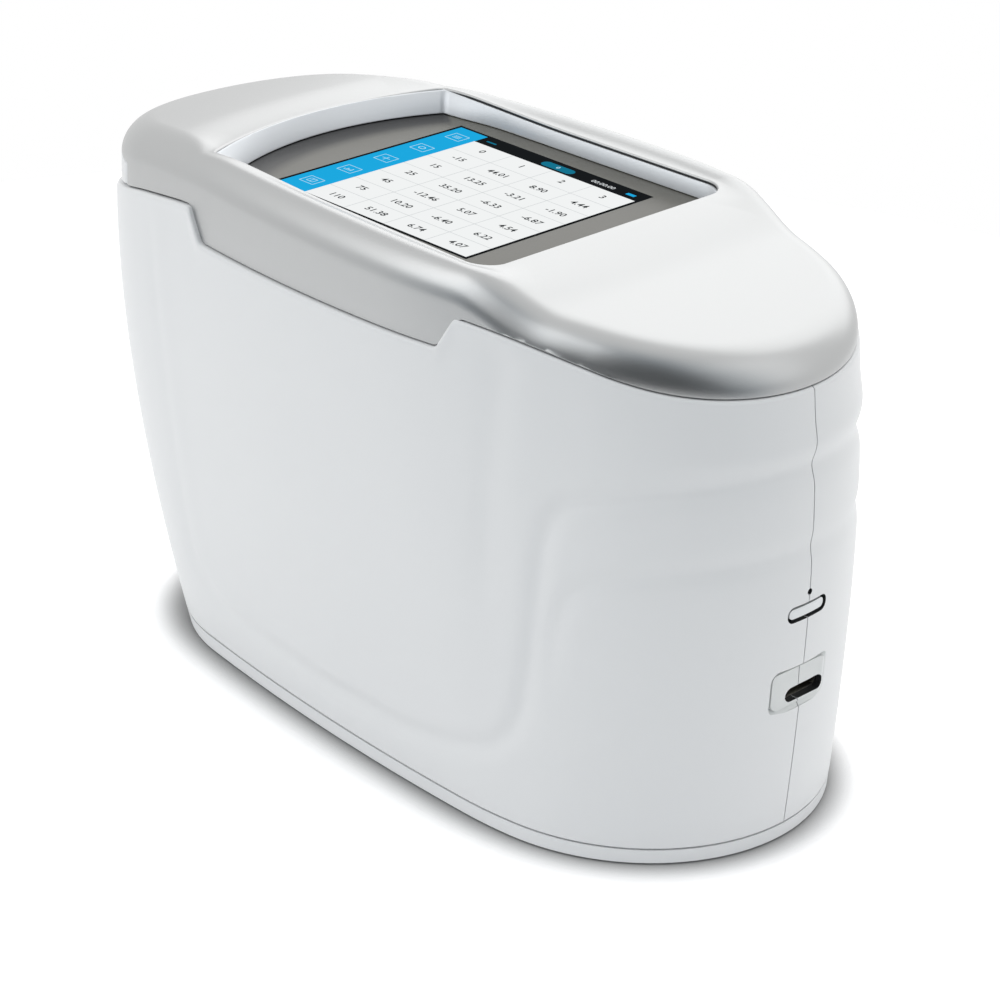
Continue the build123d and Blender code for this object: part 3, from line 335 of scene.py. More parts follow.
def pathDistance(x, z, path):
    # distance in side view from every point to the nearest sample of a path
    best = np.full(np.shape(x), 1e9)
    for a, b in path:
        best = np.minimum(best, (x - a) ** 2 + (z - b) ** 2)
    return np.sqrt(best)


creasePath = smoothPath(relief["crease"])
foldPath = smoothPath(relief["fold"])


def panelArea(x, z):
    # true between the panel's right, lower and left edges
    rightX, rightZ = zip(*relief["panelRight"])
    footX, footZ = zip(*relief["panelFoot"])
    leftX, leftZ = zip(*relief["panelLeft"])
    between = (x < np.interp(z, rightZ, rightX)) & (x > np.interp(z, leftZ, leftX))
    corner = (x < relief["panelTop"][0]) | (z < relief["panelTop"][1])
    return between & (z > np.interp(x, footX, footZ)) & corner


def reliefDepth(x, z):
    # how far the surface lies out (+) or in (-) of the plain form: a smooth step down into the
    # panel, bell-shaped valleys along the crease, the fold and the panel, and a bell-shaped brow
    r = relief
    away = pathDistance(x, z, creasePath)
    runOut = smoothStep(*r["panelFade"][0], z) * smoothStep(*r["panelFade"][1], x)
    panel = smoothStep(0, r["panelSoft"], away) * panelArea(x, z) * (1 - runOut)
    left = r["creaseLeast"] + (1 - r["creaseLeast"]) * smoothStep(*r["creaseLeft"], x)
    crease = bell(away, r["creaseSoft"]) * (1 - smoothStep(*r["creaseTop"], z)) * left
    fold = bell(pathDistance(x, z, foldPath), r["foldSoft"]) * smoothStep(*r["foldFade"], z)
    brow = bell(z - r["brow"], r["browSoft"]) * smoothStep(*r["browFrom"], x)
    valley = bell(x - r["valley"], r["valleySoft"]) * smoothStep(*r["valleyFrom"], z)
    return (-r["panelDepth"] * panel - r["creaseDepth"] * crease - r["foldDepth"] * fold
            + r["browHeight"] * brow - r["valleyDepth"] * valley)


shell = {
    "columns": 430,
    "rows": 150,
    "foot": 0.3,              # bevel of the lower edge
    "edge": 1.1,              # rounding of the upper edge
    "edgeRows": 5,
    "ledge": 0.7,
    "skirt": 5.0,
    "lining": 20.0,           # an inner ring this far above the bottom
    "reliefEnd": 6.0,         # the relief fades over this height under the parting line
    "ends": (-math.pi + 0.0037, -0.0033),     # the seam's gap, as directions of the normal
    "lobeEnds": (-47.0, 40.0),
    "crowding": 2.5,
    "crowdWidth": 5.0,
}


def crowdAtLobe(x):
    # more columns where the parting line steps down to the lobe and up again
    first, second = (shell["crowding"] * bell(x - end, shell["crowdWidth"])
                     for end in shell["lobeEnds"])
    return 1 + first + second


def shellPoints(turns):
    # each column climbs the outer face from the bottom to the parting line, rounds the edge,
    # crosses the wall and comes down inside; the relief moves outer points along the normal
    s = shell
    flat = 0 * turns
    bottom = housing["bottom"]
    top = partingHeight(planPoint(turns, 112.0, 0.0)[0]) - housing["seam"]
    low = bottom + s["foot"]
    zOuter = low + np.linspace(0, 1, s["rows"])[:, None] * (top - s["edge"] - low)
    quarter = np.linspace(0, math.pi / 2, s["edgeRows"] + 1)[1:, None]
    zEdge = top - s["edge"] * (1 - np.sin(quarter)) + flat
    inEdge = s["ledge"] * (1 - np.cos(quarter)) + flat
    wall = housing["wall"] + flat
    z = np.vstack([bottom + flat, zOuter, zEdge, top, top - s["skirt"],
                   bottom + s["lining"] + flat, bottom + flat])
    inset = np.vstack([s["foot"] + flat, 0 * zOuter, inEdge, wall, wall, wall, wall])
    x, y = planPoint(turns[None, :], z, inset)
    outer = inset < housing["wall"] / 2
    out = reliefDepth(x, z) * outer * smoothStep(0, s["reliefEnd"], top - z)
    return np.stack([x + out * np.cos(turns), y + out * np.sin(turns), z], -1)


def hexColor(text):
    # sRGB hex to linear
    v = np.array([int(text[i:i + 2], 16) for i in (1, 3, 5)]) / 255
    return tuple(np.where(v <= 0.04045, v / 12.92, ((v + 0.055) / 1.055) ** 2.4)) + (1.0,)


def addNode(tree, kind, values=None, links=None):
    # one node with its settings and its links: {input: (node, output)}
    node = tree.nodes.new("ShaderNode" + kind)
    for key, value in (values or {}).items():
        if isinstance(key, str) and hasattr(node, key):
            setattr(node, key, value)
        else:
            node.inputs[key].default_value = value
    for key, (source, output) in (links or {}).items():
        tree.links.new(source.outputs[output], node.inputs[key])
    return node


def mixColours(tree, first, second, share):
    # from the first colour to the second as the share goes from 0 to 1
    return addNode(tree, "Mix", {"data_type": "RGBA", 6: hexColor(first), 7: hexColor(second)},
                   {0: share})


def newMaterial(name):
    m = bpy.data.materials.new(name)
    m.use_nodes = True
    m.node_tree.nodes.clear()
    return m, m.node_tree


def grained(name, scale, bump, distance, values, detail=2.0, stretch=(1, 1, 1)):
    # a material with noise in its bump, and the nodes that a finish builds on
    m, t = newMaterial(name)
    place = addNode(t, "TexCoord")
    turn = addNode(t, "Mapping", {"Scale": stretch}, {"Vector": (place, "Object")})
    fine = addNode(t, "TexNoise", {"Scale": scale, "Detail": detail}, {"Vector": (turn, "Vector")})
    rel = addNode(t, "Bump", {"Strength": bump, "Distance": distance}, {"Height": (fine, "Fac")})
    s = addNode(t, "BsdfPrincipled", values, {"Normal": (rel, "Normal")})
    addNode(t, "OutputMaterial", {}, {"Surface": (s, "BSDF")})
    return m, t, turn, fine, s


def mouldedPlastic(name, colour, shade, rough, grain, bump):
    # moulded plastic: a spark-eroded grain (mm) in the bump, and a drift of tone over about 70 mm
    m, t, place, _, s = grained(name, 1000.0 / grain, bump, grain * mm * 0.2,
                                {"Roughness": rough, "IOR": 1.5})
    drift = addNode(t, "TexNoise", {"Scale": 14.0}, {"Vector": (place, "Vector")})
    mix = mixColours(t, colour, shade, (drift, "Fac"))
    t.links.new(mix.outputs[2], s.inputs["Base Color"])
    return m


def metal(name, colour, rough, grain, bump, metallic=1.0, stretch=(1, 1, 1)):
    # machined, rolled or painted metal: grain (mm) along the tool's way changes the gloss a little
    values = {"Base Color": hexColor(colour), "Metallic": metallic}
    m, t, _, fine, s = grained(name, 1000.0 / grain, bump, grain * mm * 0.15, values, 3.0, stretch)
    span = addNode(t, "MapRange", {"To Min": rough * 0.85, "To Max": rough * 1.15},
                   {"Value": (fine, "Fac")})
    t.links.new(span.outputs["Result"], s.inputs["Roughness"])
    return m


# injection-moulded ABS with a fine eroded grain: an even, soft white with a broad, dull highlight
whiteAbs = mouldedPlastic("whiteAbsMoulded", "#e3e4e4", "#dfe0e1", 0.42, 0.5, 0.12)
# sprayed paint with metal flakes on ABS: satin silver whose tone follows what it faces
silverPaint = metal("silverPaintOnAbs", "#b8b9b9", 0.36, 0.35, 0.12, 0.9)
# the same ABS with a coarser grain in the socket's pocket: a little duller, and greyer as painted
# shade in the recess
pocketAbsPaintedShade = mouldedPlastic("whiteAbsPocketPaintedShade", "#dcdedd", "#d8dad9", 0.5, 0.4, 0.2)
# bare black ABS inside the cover; it is also painted shade on the walls of the key slot and the
# pinhole and on the strip under the well's lip, and partly painted shade on the data slot's walls,
# where the socket has a black liner
blackAndPaintedShade = mouldedPlastic("blackAbsBareAndPaintedShade", "#1d1e20", "#242527", 0.55, 0.4, 0.2)


def cutterObject(name, rings, finish):
    # a closed form through rings (mm) to cut with; the cut faces get its finish
    points, faces = cappedRings(rings)
    mesh = bpy.data.meshes.new(name)
    mesh.from_pydata((points * mm).tolist(), [], faces)
    mesh.materials.append(finish)
    turnOut(mesh)
    return newObject(name, mesh)


def cutAway(obj, cutters, sharp):
    # subtracts closed cutters and keeps the result as the object's own mesh
    for cutter in cutters:
        step = obj.modifiers.new("cut", "BOOLEAN")
        step.operation = "DIFFERENCE"
        step.solver = "EXACT"
        step.material_mode = "TRANSFER"
        step.object = cutter
    result = resultMesh(obj)
    obj.modifiers.clear()
    old = obj.data
    obj.data = result
    result.name = old.name
    bpy.data.meshes.remove(old)
    for cutter in cutters:
        bpy.data.objects.remove(cutter)
    result.shade_smooth()
    result.set_sharp_from_angle(angle=math.radians(sharp))


# what is cut into the port end: name, width, height and corner, place in YZ, finish and depth, and
# for the socket's pocket the widths over which it rises to the face at its low edge and far side,
# and the width and extra depth of the gap along its other edges
port = {
    # the black on the walls of the key slot and the pinhole is painted shade; on the data slot's
    # walls it is partly the socket's black liner and partly painted shade
    "holes": [
        ("keySlot", (13.0, 3.9, 1.8), (0.0, 58.6), blackAndPaintedShade, 6.0),
        ("pinhole", (1.5, 1.5, 0.74925), (0.0, 62.9), blackAndPaintedShade, 6.0),
        # the pocket's greyer finish is painted shade in the recess
        ("pocket", (19.2, 10.9, 2.5), (0.0, 39.9), pocketAbsPaintedShade, 0.6, (3.0, 4.5), (1.05, 2.2)),
        ("dataSlot", (12.3, 3.5, 1.6), (2.1, 37.9), blackAndPaintedShade, 6.0),
    ],
    "standOut": 4.0,                  # the cutters start this far outside the face
    "runOut": 0.25,                   # and a ramp's end comes out of it by this much
    "grooveWall": 0.04,
    "rampRings": (1.6, 2.3, 3.0, 3.8, 4.6, 5.2),
}


def roundedOutline(width, height, corner, y, z, steps=8):
    # a rounded rectangle in YZ: a quarter circle round each corner's centre, one after the other
    turn = np.radians(np.arange(0, 360, 90)[:, None] + np.linspace(0, 90, steps + 1))
    sideY = np.array([[1], [-1], [-1], [1]]) * (width / 2 - corner)
    sideZ = np.array([[1], [1], [-1], [-1]]) * (height / 2 - corner)
    return np.column_stack([(y + sideY + corner * np.cos(turn)).ravel(),
                            (z + sideZ + corner * np.sin(turn)).ravel()])


def endFace(y, z):
    # x of the port end's outer face: the nose arc's centre plus its radius' share along X
    centre, _, radius, _ = planArcs(z)[0]
    return centre + np.sqrt(radius ** 2 - y ** 2)


def portCutter(name, size, place, finish, depth, ramp=None, groove=(0.0, 0.0)):
    # closed form over a rounded rectangle: its inner face lies under the port end's face by a
    # depth that, with a ramp, lessens to nothing at the low edge and the far side
    width, height, corner = size
    low, far = place[1] - height / 2, place[0] + width / 2
    wide, deeper = groove
    insets = [(0, 0), (0, deeper)]
    if deeper:
        insets += [(wide, deeper), (wide + port["grooveWall"], 0)]
    if ramp:
        insets += [(inset, 0) for inset in port["rampRings"]]
    rings = []
    for inset, extra in insets:
        tight = max(corner - inset, 0.1)
        ring = roundedOutline(width - 2 * inset, height - 2 * inset, tight, *place)
        y, z = ring.T
        rise = 1.0
        if ramp:
            rise = smoothStep(0, ramp[0], z - low) * smoothStep(0, ramp[1], far - y)
        out = port["runOut"] * (1 - rise) - (depth + extra) * rise if rings else port["standOut"]
        rings.append(np.column_stack([endFace(y, z) + out, ring]))
    return cutterObject(name, rings, finish)


nearTurns = spacedTurns(*shell["ends"], shell["columns"], crowdAtLobe)
for name, node, turns in (("nearShell", "near_shell", nearTurns),
                          ("farShell", "far_shell", -nearTurns[::-1])):
    points = shellPoints(turns)
    shellPiece = newMesh(name, points, closedStrip(points), "housing", [whiteAbs], (node,))
    cutAway(shellPiece, [portCutter(*hole) for hole in port["holes"]], 35)
print("shells made")

# the opening over the display: bowed left end, straight sides, round right corners
well = {
    "x0": -48.0,
    "x1": 41.6,
    "halfLeft": 37.0,
    "halfRight": 39.5,
    "bow": 7.4,
    "corner": 6.0,
    "bevel": 0.45,
    "bevelRows": 6,
    "dip": (1.8, 0.9),        # the top sinks this much towards the opening, less at the bowed end
    "dipRun": 15.0,
    "glassTop": 123.5,
    "glassBottom": 122.3,
    "ledge": 2.2,
    "ledgeBottom": 120.7,
    "behind": 2.0,            # thickness of the wall round the opening
    "centre": -3.0,
    "steps": (64, 40, 14, 30, 14, 40),        # points on each of the six stretches
}


def wellPoint(u, grow):
    # u runs 0 to 6 round the opening, one unit for each arc or line: left arc, near side, corner,
    # right end, corner, far side; grow moves the outline outwards
    u, grow = np.broadcast_arrays(np.asarray(u, float) % 6, grow)
    w = well
    x0, x1 = w["x0"] - grow, w["x1"] + grow
    left, right, c = w["halfLeft"] + grow, w["halfRight"] + grow, w["corner"] + grow
    t = u % 1
    radius = (left ** 2 + w["bow"] ** 2) / (2 * w["bow"])
    swing = np.arcsin(left / radius) * (1 - 2 * t)
    quarter = t * math.pi / 2
    part = u.astype(int)
    xs = [
        x0 - w["bow"] + radius - radius * np.cos(swing),
        x0 + (x1 - c - x0) * t,
        x1 - c + c * np.sin(quarter),
        x1 + 0 * t,
        x1 - c + c * np.cos(quarter),
        x1 - c + (x0 - x1 + c) * t,
    ]
    ys = [
        radius * np.sin(swing),
        -left + (left - right) * t,
        -right + c - c * np.cos(quarter),
        (2 * t - 1) * (right - c),
        right - c + c * np.sin(quarter),
        right + (left - right) * t,
    ]
    return np.choose(part, xs), np.choose(part, ys)


def wellPlaces():
    # places round the opening, even on each stretch
    return np.concatenate([part + np.linspace(0, 1, count, endpoint=False)
                           for part, count in enumerate(well["steps"])])


def offBow(u, reach):
    # 0 on the bowed end, and a smooth step to 1 along the start of both long sides
    u = np.asarray(u, float) % 6
    return smoothStep(1.0, 1.0 + reach, np.where(u > 3.5, 7 - u, u)) * (u > 1.0)


def lipDrop(u):
    # depth of the lip under the top at a place of the outline
    return well["dip"][1] + (well["dip"][0] - well["dip"][1]) * offBow(u, 0.5)


cover = {
    "inset": 1.2,
    "wall": 2.2,
    "shoulder": 8.0,
    "gap": 0.2,
    "columns": 720,
    "wallRows": 12,
    "shoulderRows": 18,
    "topRows": 40,
    "innerRows": 8,
    "rolled": (1.05, 0.9),    # the shoulder's rows span this share of it, or of the way to the lip
    "leastWall": 0.1,
    "wallShares": (0.35, 0.7, 1.0),       # rows down the well's wall
    "dipShare": 0.55,         # the dip takes up this share of a short way at most
    "cornerClear": 0.0006,    # a column nearer than this to a corner of the well is left out
}


def wallDistance(x, y):
    # how far a plan point lies inside the cover's outline: radius less distance to the centre,
    # for the arc that faces it
    best = np.full(np.shape(x), 99.0)
    start = 0.0
    for cx, cy, r, end in planArcs(np.float64(housing["waist"])):
        dx, dy = x - cx, np.abs(y) - cy
        a = np.arctan2(dy, dx)
        best = np.where((a >= start) & (a <= end), np.minimum(best, r - np.hypot(dx, dy)), best)
        start = end
    return best - cover["inset"]


def coverHeight(x, y):
    # the top profile, less the drop of a quarter circle inside the rim
    r = cover["shoulder"]
    t = np.clip(wallDistance(x, y), 0, r)
    return topHeight(x) - r + np.sqrt(np.maximum(r * r - (r - t) ** 2, 0))


def coverColumns():
    # directions round the rim and, for each, its partner on the well's edge seen under the same
    # angle; two columns hit the well's sharp corners
    turns = spacedTurns(-math.pi, math.pi, cover["columns"] + 1, crowdAtLobe)[:-1]
    fine = np.linspace(-math.pi, math.pi, 20001)
    x, y = planPoint(fine, housing["waist"], cover["inset"])
    seen = np.unwrap(np.arctan2(y, x - well["centre"]))
    perStretch = 4000
    u = np.linspace(0, 6, 6 * perStretch + 1)[:-1]
    wx, wy = wellPoint(u, 0.0)
    angle = np.arctan2(wy, wx - well["centre"])
    extra = np.interp([angle[0], angle[perStretch]], seen, fine)
    near = np.min(np.abs(turns[:, None] - extra[None, :]), axis=1)
    turns = np.sort(np.concatenate([turns[near > cover["cornerClear"]], extra]))
    x, y = planPoint(turns, housing["waist"], cover["inset"])
    a = np.arctan2(y, x - well["centre"])
    order = np.argsort(angle)
    once = 2 * math.pi
    angles = np.concatenate([angle[order] - once, angle[order], angle[order] + once])
    places = np.unwrap(u[order] * math.pi / 3) * 3 / math.pi
    places = np.concatenate([places - 6, places, places + 6])
    return turns, np.interp(a, angles, places)


def coverPoints():
    # each column rises from the parting line, rolls over the shoulder, runs to the well, rounds
    # its lip, drops down its wall and comes back under the skin
    c, w = cover, well
    turns, u = coverColumns()
    x0, y0 = planPoint(turns, housing["waist"], c["inset"])
    z0 = partingHeight(x0) + c["gap"]
    wallTop = np.maximum(coverHeight(x0, y0), z0 + c["leastWall"])
    rows = [(x0, y0, z0 + share * (wallTop - z0)) for share in np.linspace(0, 1, c["wallRows"])]
    lipX, lipY = wellPoint(u, w["bevel"])
    run = np.hypot(lipX - x0, lipY - y0)
    rolled = np.minimum(c["shoulder"] * c["rolled"][0], c["rolled"][1] * run)
    quarter = np.linspace(0, math.pi / 2, c["shoulderRows"] + 1)[1:]
    steps = [rolled * (1 - math.cos(a)) for a in quarter]
    steps += [rolled + (run - rolled) * t for t in np.linspace(0, 1, c["topRows"] + 1)[1:]]
    dipRun = np.minimum(w["dipRun"], c["dipShare"] * run)
    for d in steps:
        x = x0 + (lipX - x0) * d / run
        y = y0 + (lipY - y0) * d / run
        sink = lipDrop(u) * (1 - smoothStep(0, 1, (run - d) / dipRun))
        rows.append((x, y, np.maximum(coverHeight(x, y), wallTop + 0.02) - sink))
    lipZ = rows[-1][2]
    for a in np.linspace(0, math.pi / 2, w["bevelRows"] + 1)[1:]:
        x, y = wellPoint(u, w["bevel"] * (1 - math.sin(a)))
        rows.append((x, y, lipZ - w["bevel"] * (1 - math.cos(a))))
    x, y = wellPoint(u, 0.0)
    for share in c["wallShares"]:
        rows.append((x, y, rows[-1][2] * (1 - share) + w["glassBottom"] * share))
    inX, inY = wellPoint(u, -w["ledge"])
    rows.append((inX, inY, 0 * u + w["glassBottom"]))
    rows.append((inX, inY, 0 * u + w["ledgeBottom"]))
    backX, backY = wellPoint(u, w["behind"])
    rows.append((backX, backY, 0 * u + w["ledgeBottom"]))
    innerX, innerY = planPoint(turns, housing["waist"], c["inset"] + c["wall"])
    for t in np.linspace(0, 1, c["innerRows"]):
        x = backX + (innerX - backX) * t
        y = backY + (innerY - backY) * t
        sink = lipDrop(u) * (1 - smoothStep(0, 1, np.hypot(x - backX, y - backY) / dipRun))
        under = coverHeight(x, y) - c["wall"] - sink
        rows.append((x, y, under if t else np.maximum(under, w["ledgeBottom"] + 0.05)))
    rows.append((innerX, innerY, z0))
    return np.stack([np.stack(r, -1) for r in rows])


measureKey = {
    "half": 35.0,
    "top": 115.5,
    "gap": 0.35,
    "edge": 0.45,
    "columns": 110,
    "rows": 26,
    # its hole in the cover starts this far outside the end, stops this far before the centre of
    # the end's arc, and has this lowest height
    "hole": (15.0, 8.0, 90.0),
}


def keyPoints():
    # a piece of the cover's end wall: it follows the wall and the start of the shoulder, and its
    # edges are quarter circles by the distance to the nearest edge
    k, c = measureKey, cover
    radius = housing["leftRadius"] - c["inset"]
    reach = math.asin(k["half"] / radius)
    turns = np.linspace(math.pi - reach, math.pi + reach, k["columns"])
    wrapped = np.where(turns > math.pi, turns - 2 * math.pi, turns)
    x0, y0 = planPoint(wrapped, housing["waist"], c["inset"])
    bottom = partingHeight(x0) + c["gap"]
    z = bottom + np.linspace(0, 1, k["rows"])[:, None] * (k["top"] - bottom)
    rise = np.clip(z - (topHeight(x0) - c["shoulder"]), 0, c["shoulder"])
    inset = c["inset"] + c["shoulder"] - np.sqrt(c["shoulder"] ** 2 - rise ** 2)
    e = k["edge"]
    side = (reach - np.abs(turns - math.pi)) * radius
    fromEdge = np.minimum(np.minimum(z - bottom, k["top"] - z), side[None, :])
    inset = inset + e - np.sqrt(np.maximum(e * e - np.clip(e - fromEdge, 0, e) ** 2, 0))
    xo, yo = planPoint(wrapped[None, :], housing["waist"], inset)
    xi, yi = planPoint(wrapped[None, :], housing["waist"], inset + c["wall"])
    outer = np.stack([xo, yo, z], -1)
    inner = np.stack([xi, yi, z], -1)[::-1]
    return np.concatenate([outer, inner])


def keyHole():
    # a plain block through the cover's left end, larger than the key by its gap
    half = measureKey["half"] + measureKey["gap"]
    outside, before, low = measureKey["hole"]
    end = -housing["length"] / 2
    left, right = end - outside, end + housing["leftRadius"] - before
    outline = np.array([(left, -half), (right, -half), (right, half), (left, half)])
    levels = (low, measureKey["top"] + measureKey["gap"])
    rings = [np.column_stack([outline, np.full(4, level)]) for level in levels]
    return cutterObject("keyHole", rings, silverPaint)


points = coverPoints()
rows, columns = points.shape[:2]
# paint outside and on the lip, black from under the lip down and inside: under the lip the black
# is painted shade, a dark strip in the gap over the trim, and further in it is bare black plastic
blackShadeFrom = cover["wallRows"] + cover["shoulderRows"] + cover["topRows"] + well["bevelRows"] - 1
slots = np.repeat((np.arange(rows) >= blackShadeFrom).astype(int), columns)
topCover = newMesh("topCover", points, gridFaces(rows, columns, True, True), "housing",
                   [silverPaint, blackAndPaintedShade], ("top_cover",), slotIndex=slots)
cutAway(topCover, [keyHole()], 38)
points = keyPoints()
newMesh("measureKeyCap", points, closedStrip(points), "measure_key", [whiteAbs],
        ("measure_key",), sharp=38)
print("cover made")

# nickel-plated ABS, satin: a bright, slightly blurred rim round the display
trimSatin = metal("satinPlatedTrim", "#d3d6d9", 0.36, 0.4, 0.05, 0.4)

trim = {
    "low": 123.7,
    "thickness": 0.5,
    "outside": -0.03,         # clearance to the well's wall, inwards
    "footRise": 0.25,
    "shoulder": (0.15, 0.2),  # width and height of its upper bevel
    "slope": (0.8, 2.8),      # its foot stands this much further in than its top, more at the bow
    "under": 0.5,             # its top edge stays this far under the lip's rounding
}


def trimBand():
    # a band that follows the well's outline, by the (grow, height) corners of its cross-section
    u = wellPlaces()
    flat = 0 * u
    low, outside = flat + trim["low"], flat + trim["outside"]
    top = housing["height"] - lipDrop(u) - well["bevel"] - trim["under"]
    steep, gentle = trim["slope"]
    foot = -trim["thickness"] - gentle + (gentle - steep) * offBow(u, 0.25)
    bevel, drop = trim["shoulder"]
    corners = [(outside, low), (foot, low), (foot, low + trim["footRise"]),
               (flat - trim["thickness"], top - drop), (flat + bevel - trim["thickness"], top),
               (outside, top)]
    points = np.stack([np.stack(wellPoint(u, grow) + (z,), -1) for grow, z in corners])
    rows, columns = points.shape[:2]
    newMesh("displayTrimBand", points, gridFaces(rows, columns, True, True), "housing",
            [trimSatin], ("display_trim",), sharp=50)


trimBand()


def smokedGlass(name, colour, printAndShade, rough):
    # smoked glass over a dark print: an even grey-brown, darker towards the edge, where the narrow
    # rim is dark print and the broad soft band along the bowed end is painted shade, with a ripple
    # of about 17 mm that keeps reflections from being perfect
    m, t, _, _, s = grained(name, 60.0, 0.02, 0.2 * mm,
                            {"Roughness": rough, "IOR": 1.5, "Specular IOR Level": 0.2})
    ink = addNode(t, "Attribute", {"attribute_name": "printAndShade"})
    mix = mixColours(t, colour, printAndShade, (ink, "Fac"))
    t.links.new(mix.outputs[2], s.inputs["Base Color"])
    return m


lens = {
    "fit": 0.15,
    "edge": 0.2,
    "band": 11.0,             # width of the painted shade along the bowed end, a soft dark band that widens the print
    "bandFade": (0.75, 1.15),
    "rim": 1.1,               # and along the rest
    "rimFade": (0.5, 1.3),
    "rings": (0.985, 0.975, 0.94, 0.9, 0.87, 0.84, 0.81, 0.78, 0.75),    # shares of the outline
}
lensGlass = smokedGlass("smokedLensGlass", "#57564f", "#161616", 0.28)


def makeLens():
    # the well's outline, drawn in: up the side, over the bevel and inwards in shrunk copies that
    # carry the density of the print and of the painted shade, which falls off by the distance to
    # the edge
    q = lens
    u = wellPlaces()
    in1, in2 = -q["fit"], -q["fit"] - q["edge"]
    rings = [(in1, well["glassBottom"], 1.0), (in1, well["glassTop"] - q["edge"], 1.0),
             (in2, well["glassTop"], 1.0)]
    rings += [(in2, well["glassTop"], share) for share in q["rings"]]
    drawn = [np.stack(wellPoint(u, grow) + (0 * u + z,), -1) * (share, share, 1)
             for grow, z, share in rings]
    depth = np.array([(share - 1) * (well["x0"] - well["bow"]) for _, _, share in rings])
    band = 1 - smoothStep(q["band"] * q["bandFade"][0], q["band"] * q["bandFade"][1], depth)
    rim = 1 - smoothStep(q["rim"] * q["rimFade"][0], q["rim"] * q["rimFade"][1], depth)
    printAndShade = np.maximum(band[:, None] * (u <= 1.0), rim[:, None])
    points, faces = cappedRings(drawn)
    glass = newMesh("displayLens", points, faces, "housing", [lensGlass], ("display_window",),
                    sharp=50)
    ink = glass.data.attributes.new("printAndShade", "FLOAT", "POINT")
    ink.data.foreach_set("value", printAndShade.ravel())


makeLens()
print("display made")

# what the display shows: thin lit areas just over the glass, sizes in mm from its middle
screen = {
    "x0": -34.8,
    "x1": 26.0,
    "y0": -29.5,
    "y1": 30.0,
    "edge": 0.9,              # black rim of the panel
    "toolbar": 9.0,
    "status": 4.6,
    "rows": 7,
    "columns": 4,
    "line": 0.16,
    "lift": 0.012,            # height between one layer and the next
    "figure": 2.9,
    "figureWeight": 0.045,
    "angles": ("110", "75", "45", "25", "15", "-15", "0"),
    "readings": (-13, 90, 9),         # lowest, highest in the first column, highest in the others
    "icons": (5, 6.4, 11.8),          # how many, place of the first, spacing
    "iconBox": (2.2, 2.0),
    "iconLine": 0.22,
    "iconAreas": [            # left, right, low and high of the areas in each sign
        [(-0.1, 0.1, -0.9, 0.9)],
        [(-1.2, -0.9, -0.9, -0.3), (-0.55, -0.25, -0.9, 0.3), (0.1, 0.4, -0.9, 0.0),
         (0.75, 1.05, -0.9, 0.6)],
        [(-1.2, 1.2, -0.1, 0.1), (-0.1, 0.1, -1.1, 1.1)],
        [],
        [(-1.1, 1.1, -0.7, -0.5), (-1.1, 1.1, -0.1, 0.1), (-1.1, 1.1, 0.5, 0.7)],
    ],
}


def litColour(name, colour, strength=1.0):
    # a lit part of the display: its own colour shines, uneven by 0.1 mm dots too fine to see
    m, t = newMaterial(name)
    place = addNode(t, "TexCoord")
    dots = addNode(t, "TexNoise", {"Scale": 9000.0, "Detail": 0.0}, {"Vector": (place, "Object")})
    glow = addNode(t, "MapRange", {"To Min": strength * 0.985, "To Max": strength},
                   {"Value": (dots, "Fac")})
    s = addNode(t, "BsdfPrincipled",
                {"Base Color": (0.002, 0.002, 0.002, 1), "Roughness": 0.3,
                 "Specular IOR Level": 0.0, "Emission Color": hexColor(colour)},
                {"Emission Strength": (glow, "Result")})
    addNode(t, "OutputMaterial", {}, {"Surface": (s, "BSDF")})
    return m


screenColours = [
    litColour("displayWhiteLit", "#f6f8f8", 0.96),
    litColour("displayBlueLit", "#1aaae2", 0.98),
    litColour("displayBlackLit", "#15181a"),
    litColour("displayTealLit", "#12738f"),
    litColour("displayGridLit", "#c4c8ca"),
    litColour("displayInkLit", "#2c3032"),
    litColour("displayPaleBlueLit", "#b9e4f7"),
]
white, blue, black, teal, gridGrey, ink, paleBlue = range(7)
patches = {"points": [], "faces": [], "slots": []}


def addPatch(points, faces, colour, level):
    start = len(patches["points"])
    z = well["glassTop"] + screen["lift"] * level
    patches["points"] += [(x, y, z) for x, y in points]
    patches["faces"] += [[start + i for i in f] for f in faces]
    patches["slots"] += [colour] * len(faces)


def addArea(x0, x1, y0, y1, colour, level):
    addPatch([(x0, y0), (x1, y0), (x1, y1), (x0, y1)], [(0, 1, 2, 3)], colour, level)


def addFrame(x, y, halfX, halfY, line, colour, level):
    # a thin rectangular outline
    for side in (-1, 1):
        middleX, middleY = x + side * halfX, y + side * halfY
        addArea(x - halfX, x + halfX, middleY - line / 2, middleY + line / 2, colour, level)
        addArea(middleX - line / 2, middleX + line / 2, y - halfY, y + halfY, colour, level)


def addPill(x, y, halfX, halfY, colour, level):
    # a half circle at each end, with straight lines between
    a = np.linspace(0, 2 * math.pi, 25)[:-1]
    px = x + np.where(np.cos(a) > 0, halfX - halfY, halfY - halfX) + halfY * np.cos(a)
    addPatch(list(zip(px, y + halfY * np.sin(a))), [tuple(range(24))], colour, level)


def addFigures(text, x, y, size, colour, level):
    # plain figures, as a filled outline turned into a mesh, centred on a point
    curve = bpy.data.curves.new("figures", "FONT")
    curve.body = text
    curve.size = size
    curve.align_x = curve.align_y = "CENTER"
    curve.resolution_u = 2
    curve.offset = screen["figureWeight"]
    holder = newObject("figures", curve)
    mesh = resultMesh(holder)
    addPatch([(x + v.co.x, y + v.co.y) for v in mesh.vertices],
             [tuple(f.vertices) for f in mesh.polygons], colour, level)
    bpy.data.meshes.remove(mesh)
    bpy.data.objects.remove(holder)
    bpy.data.curves.remove(curve)


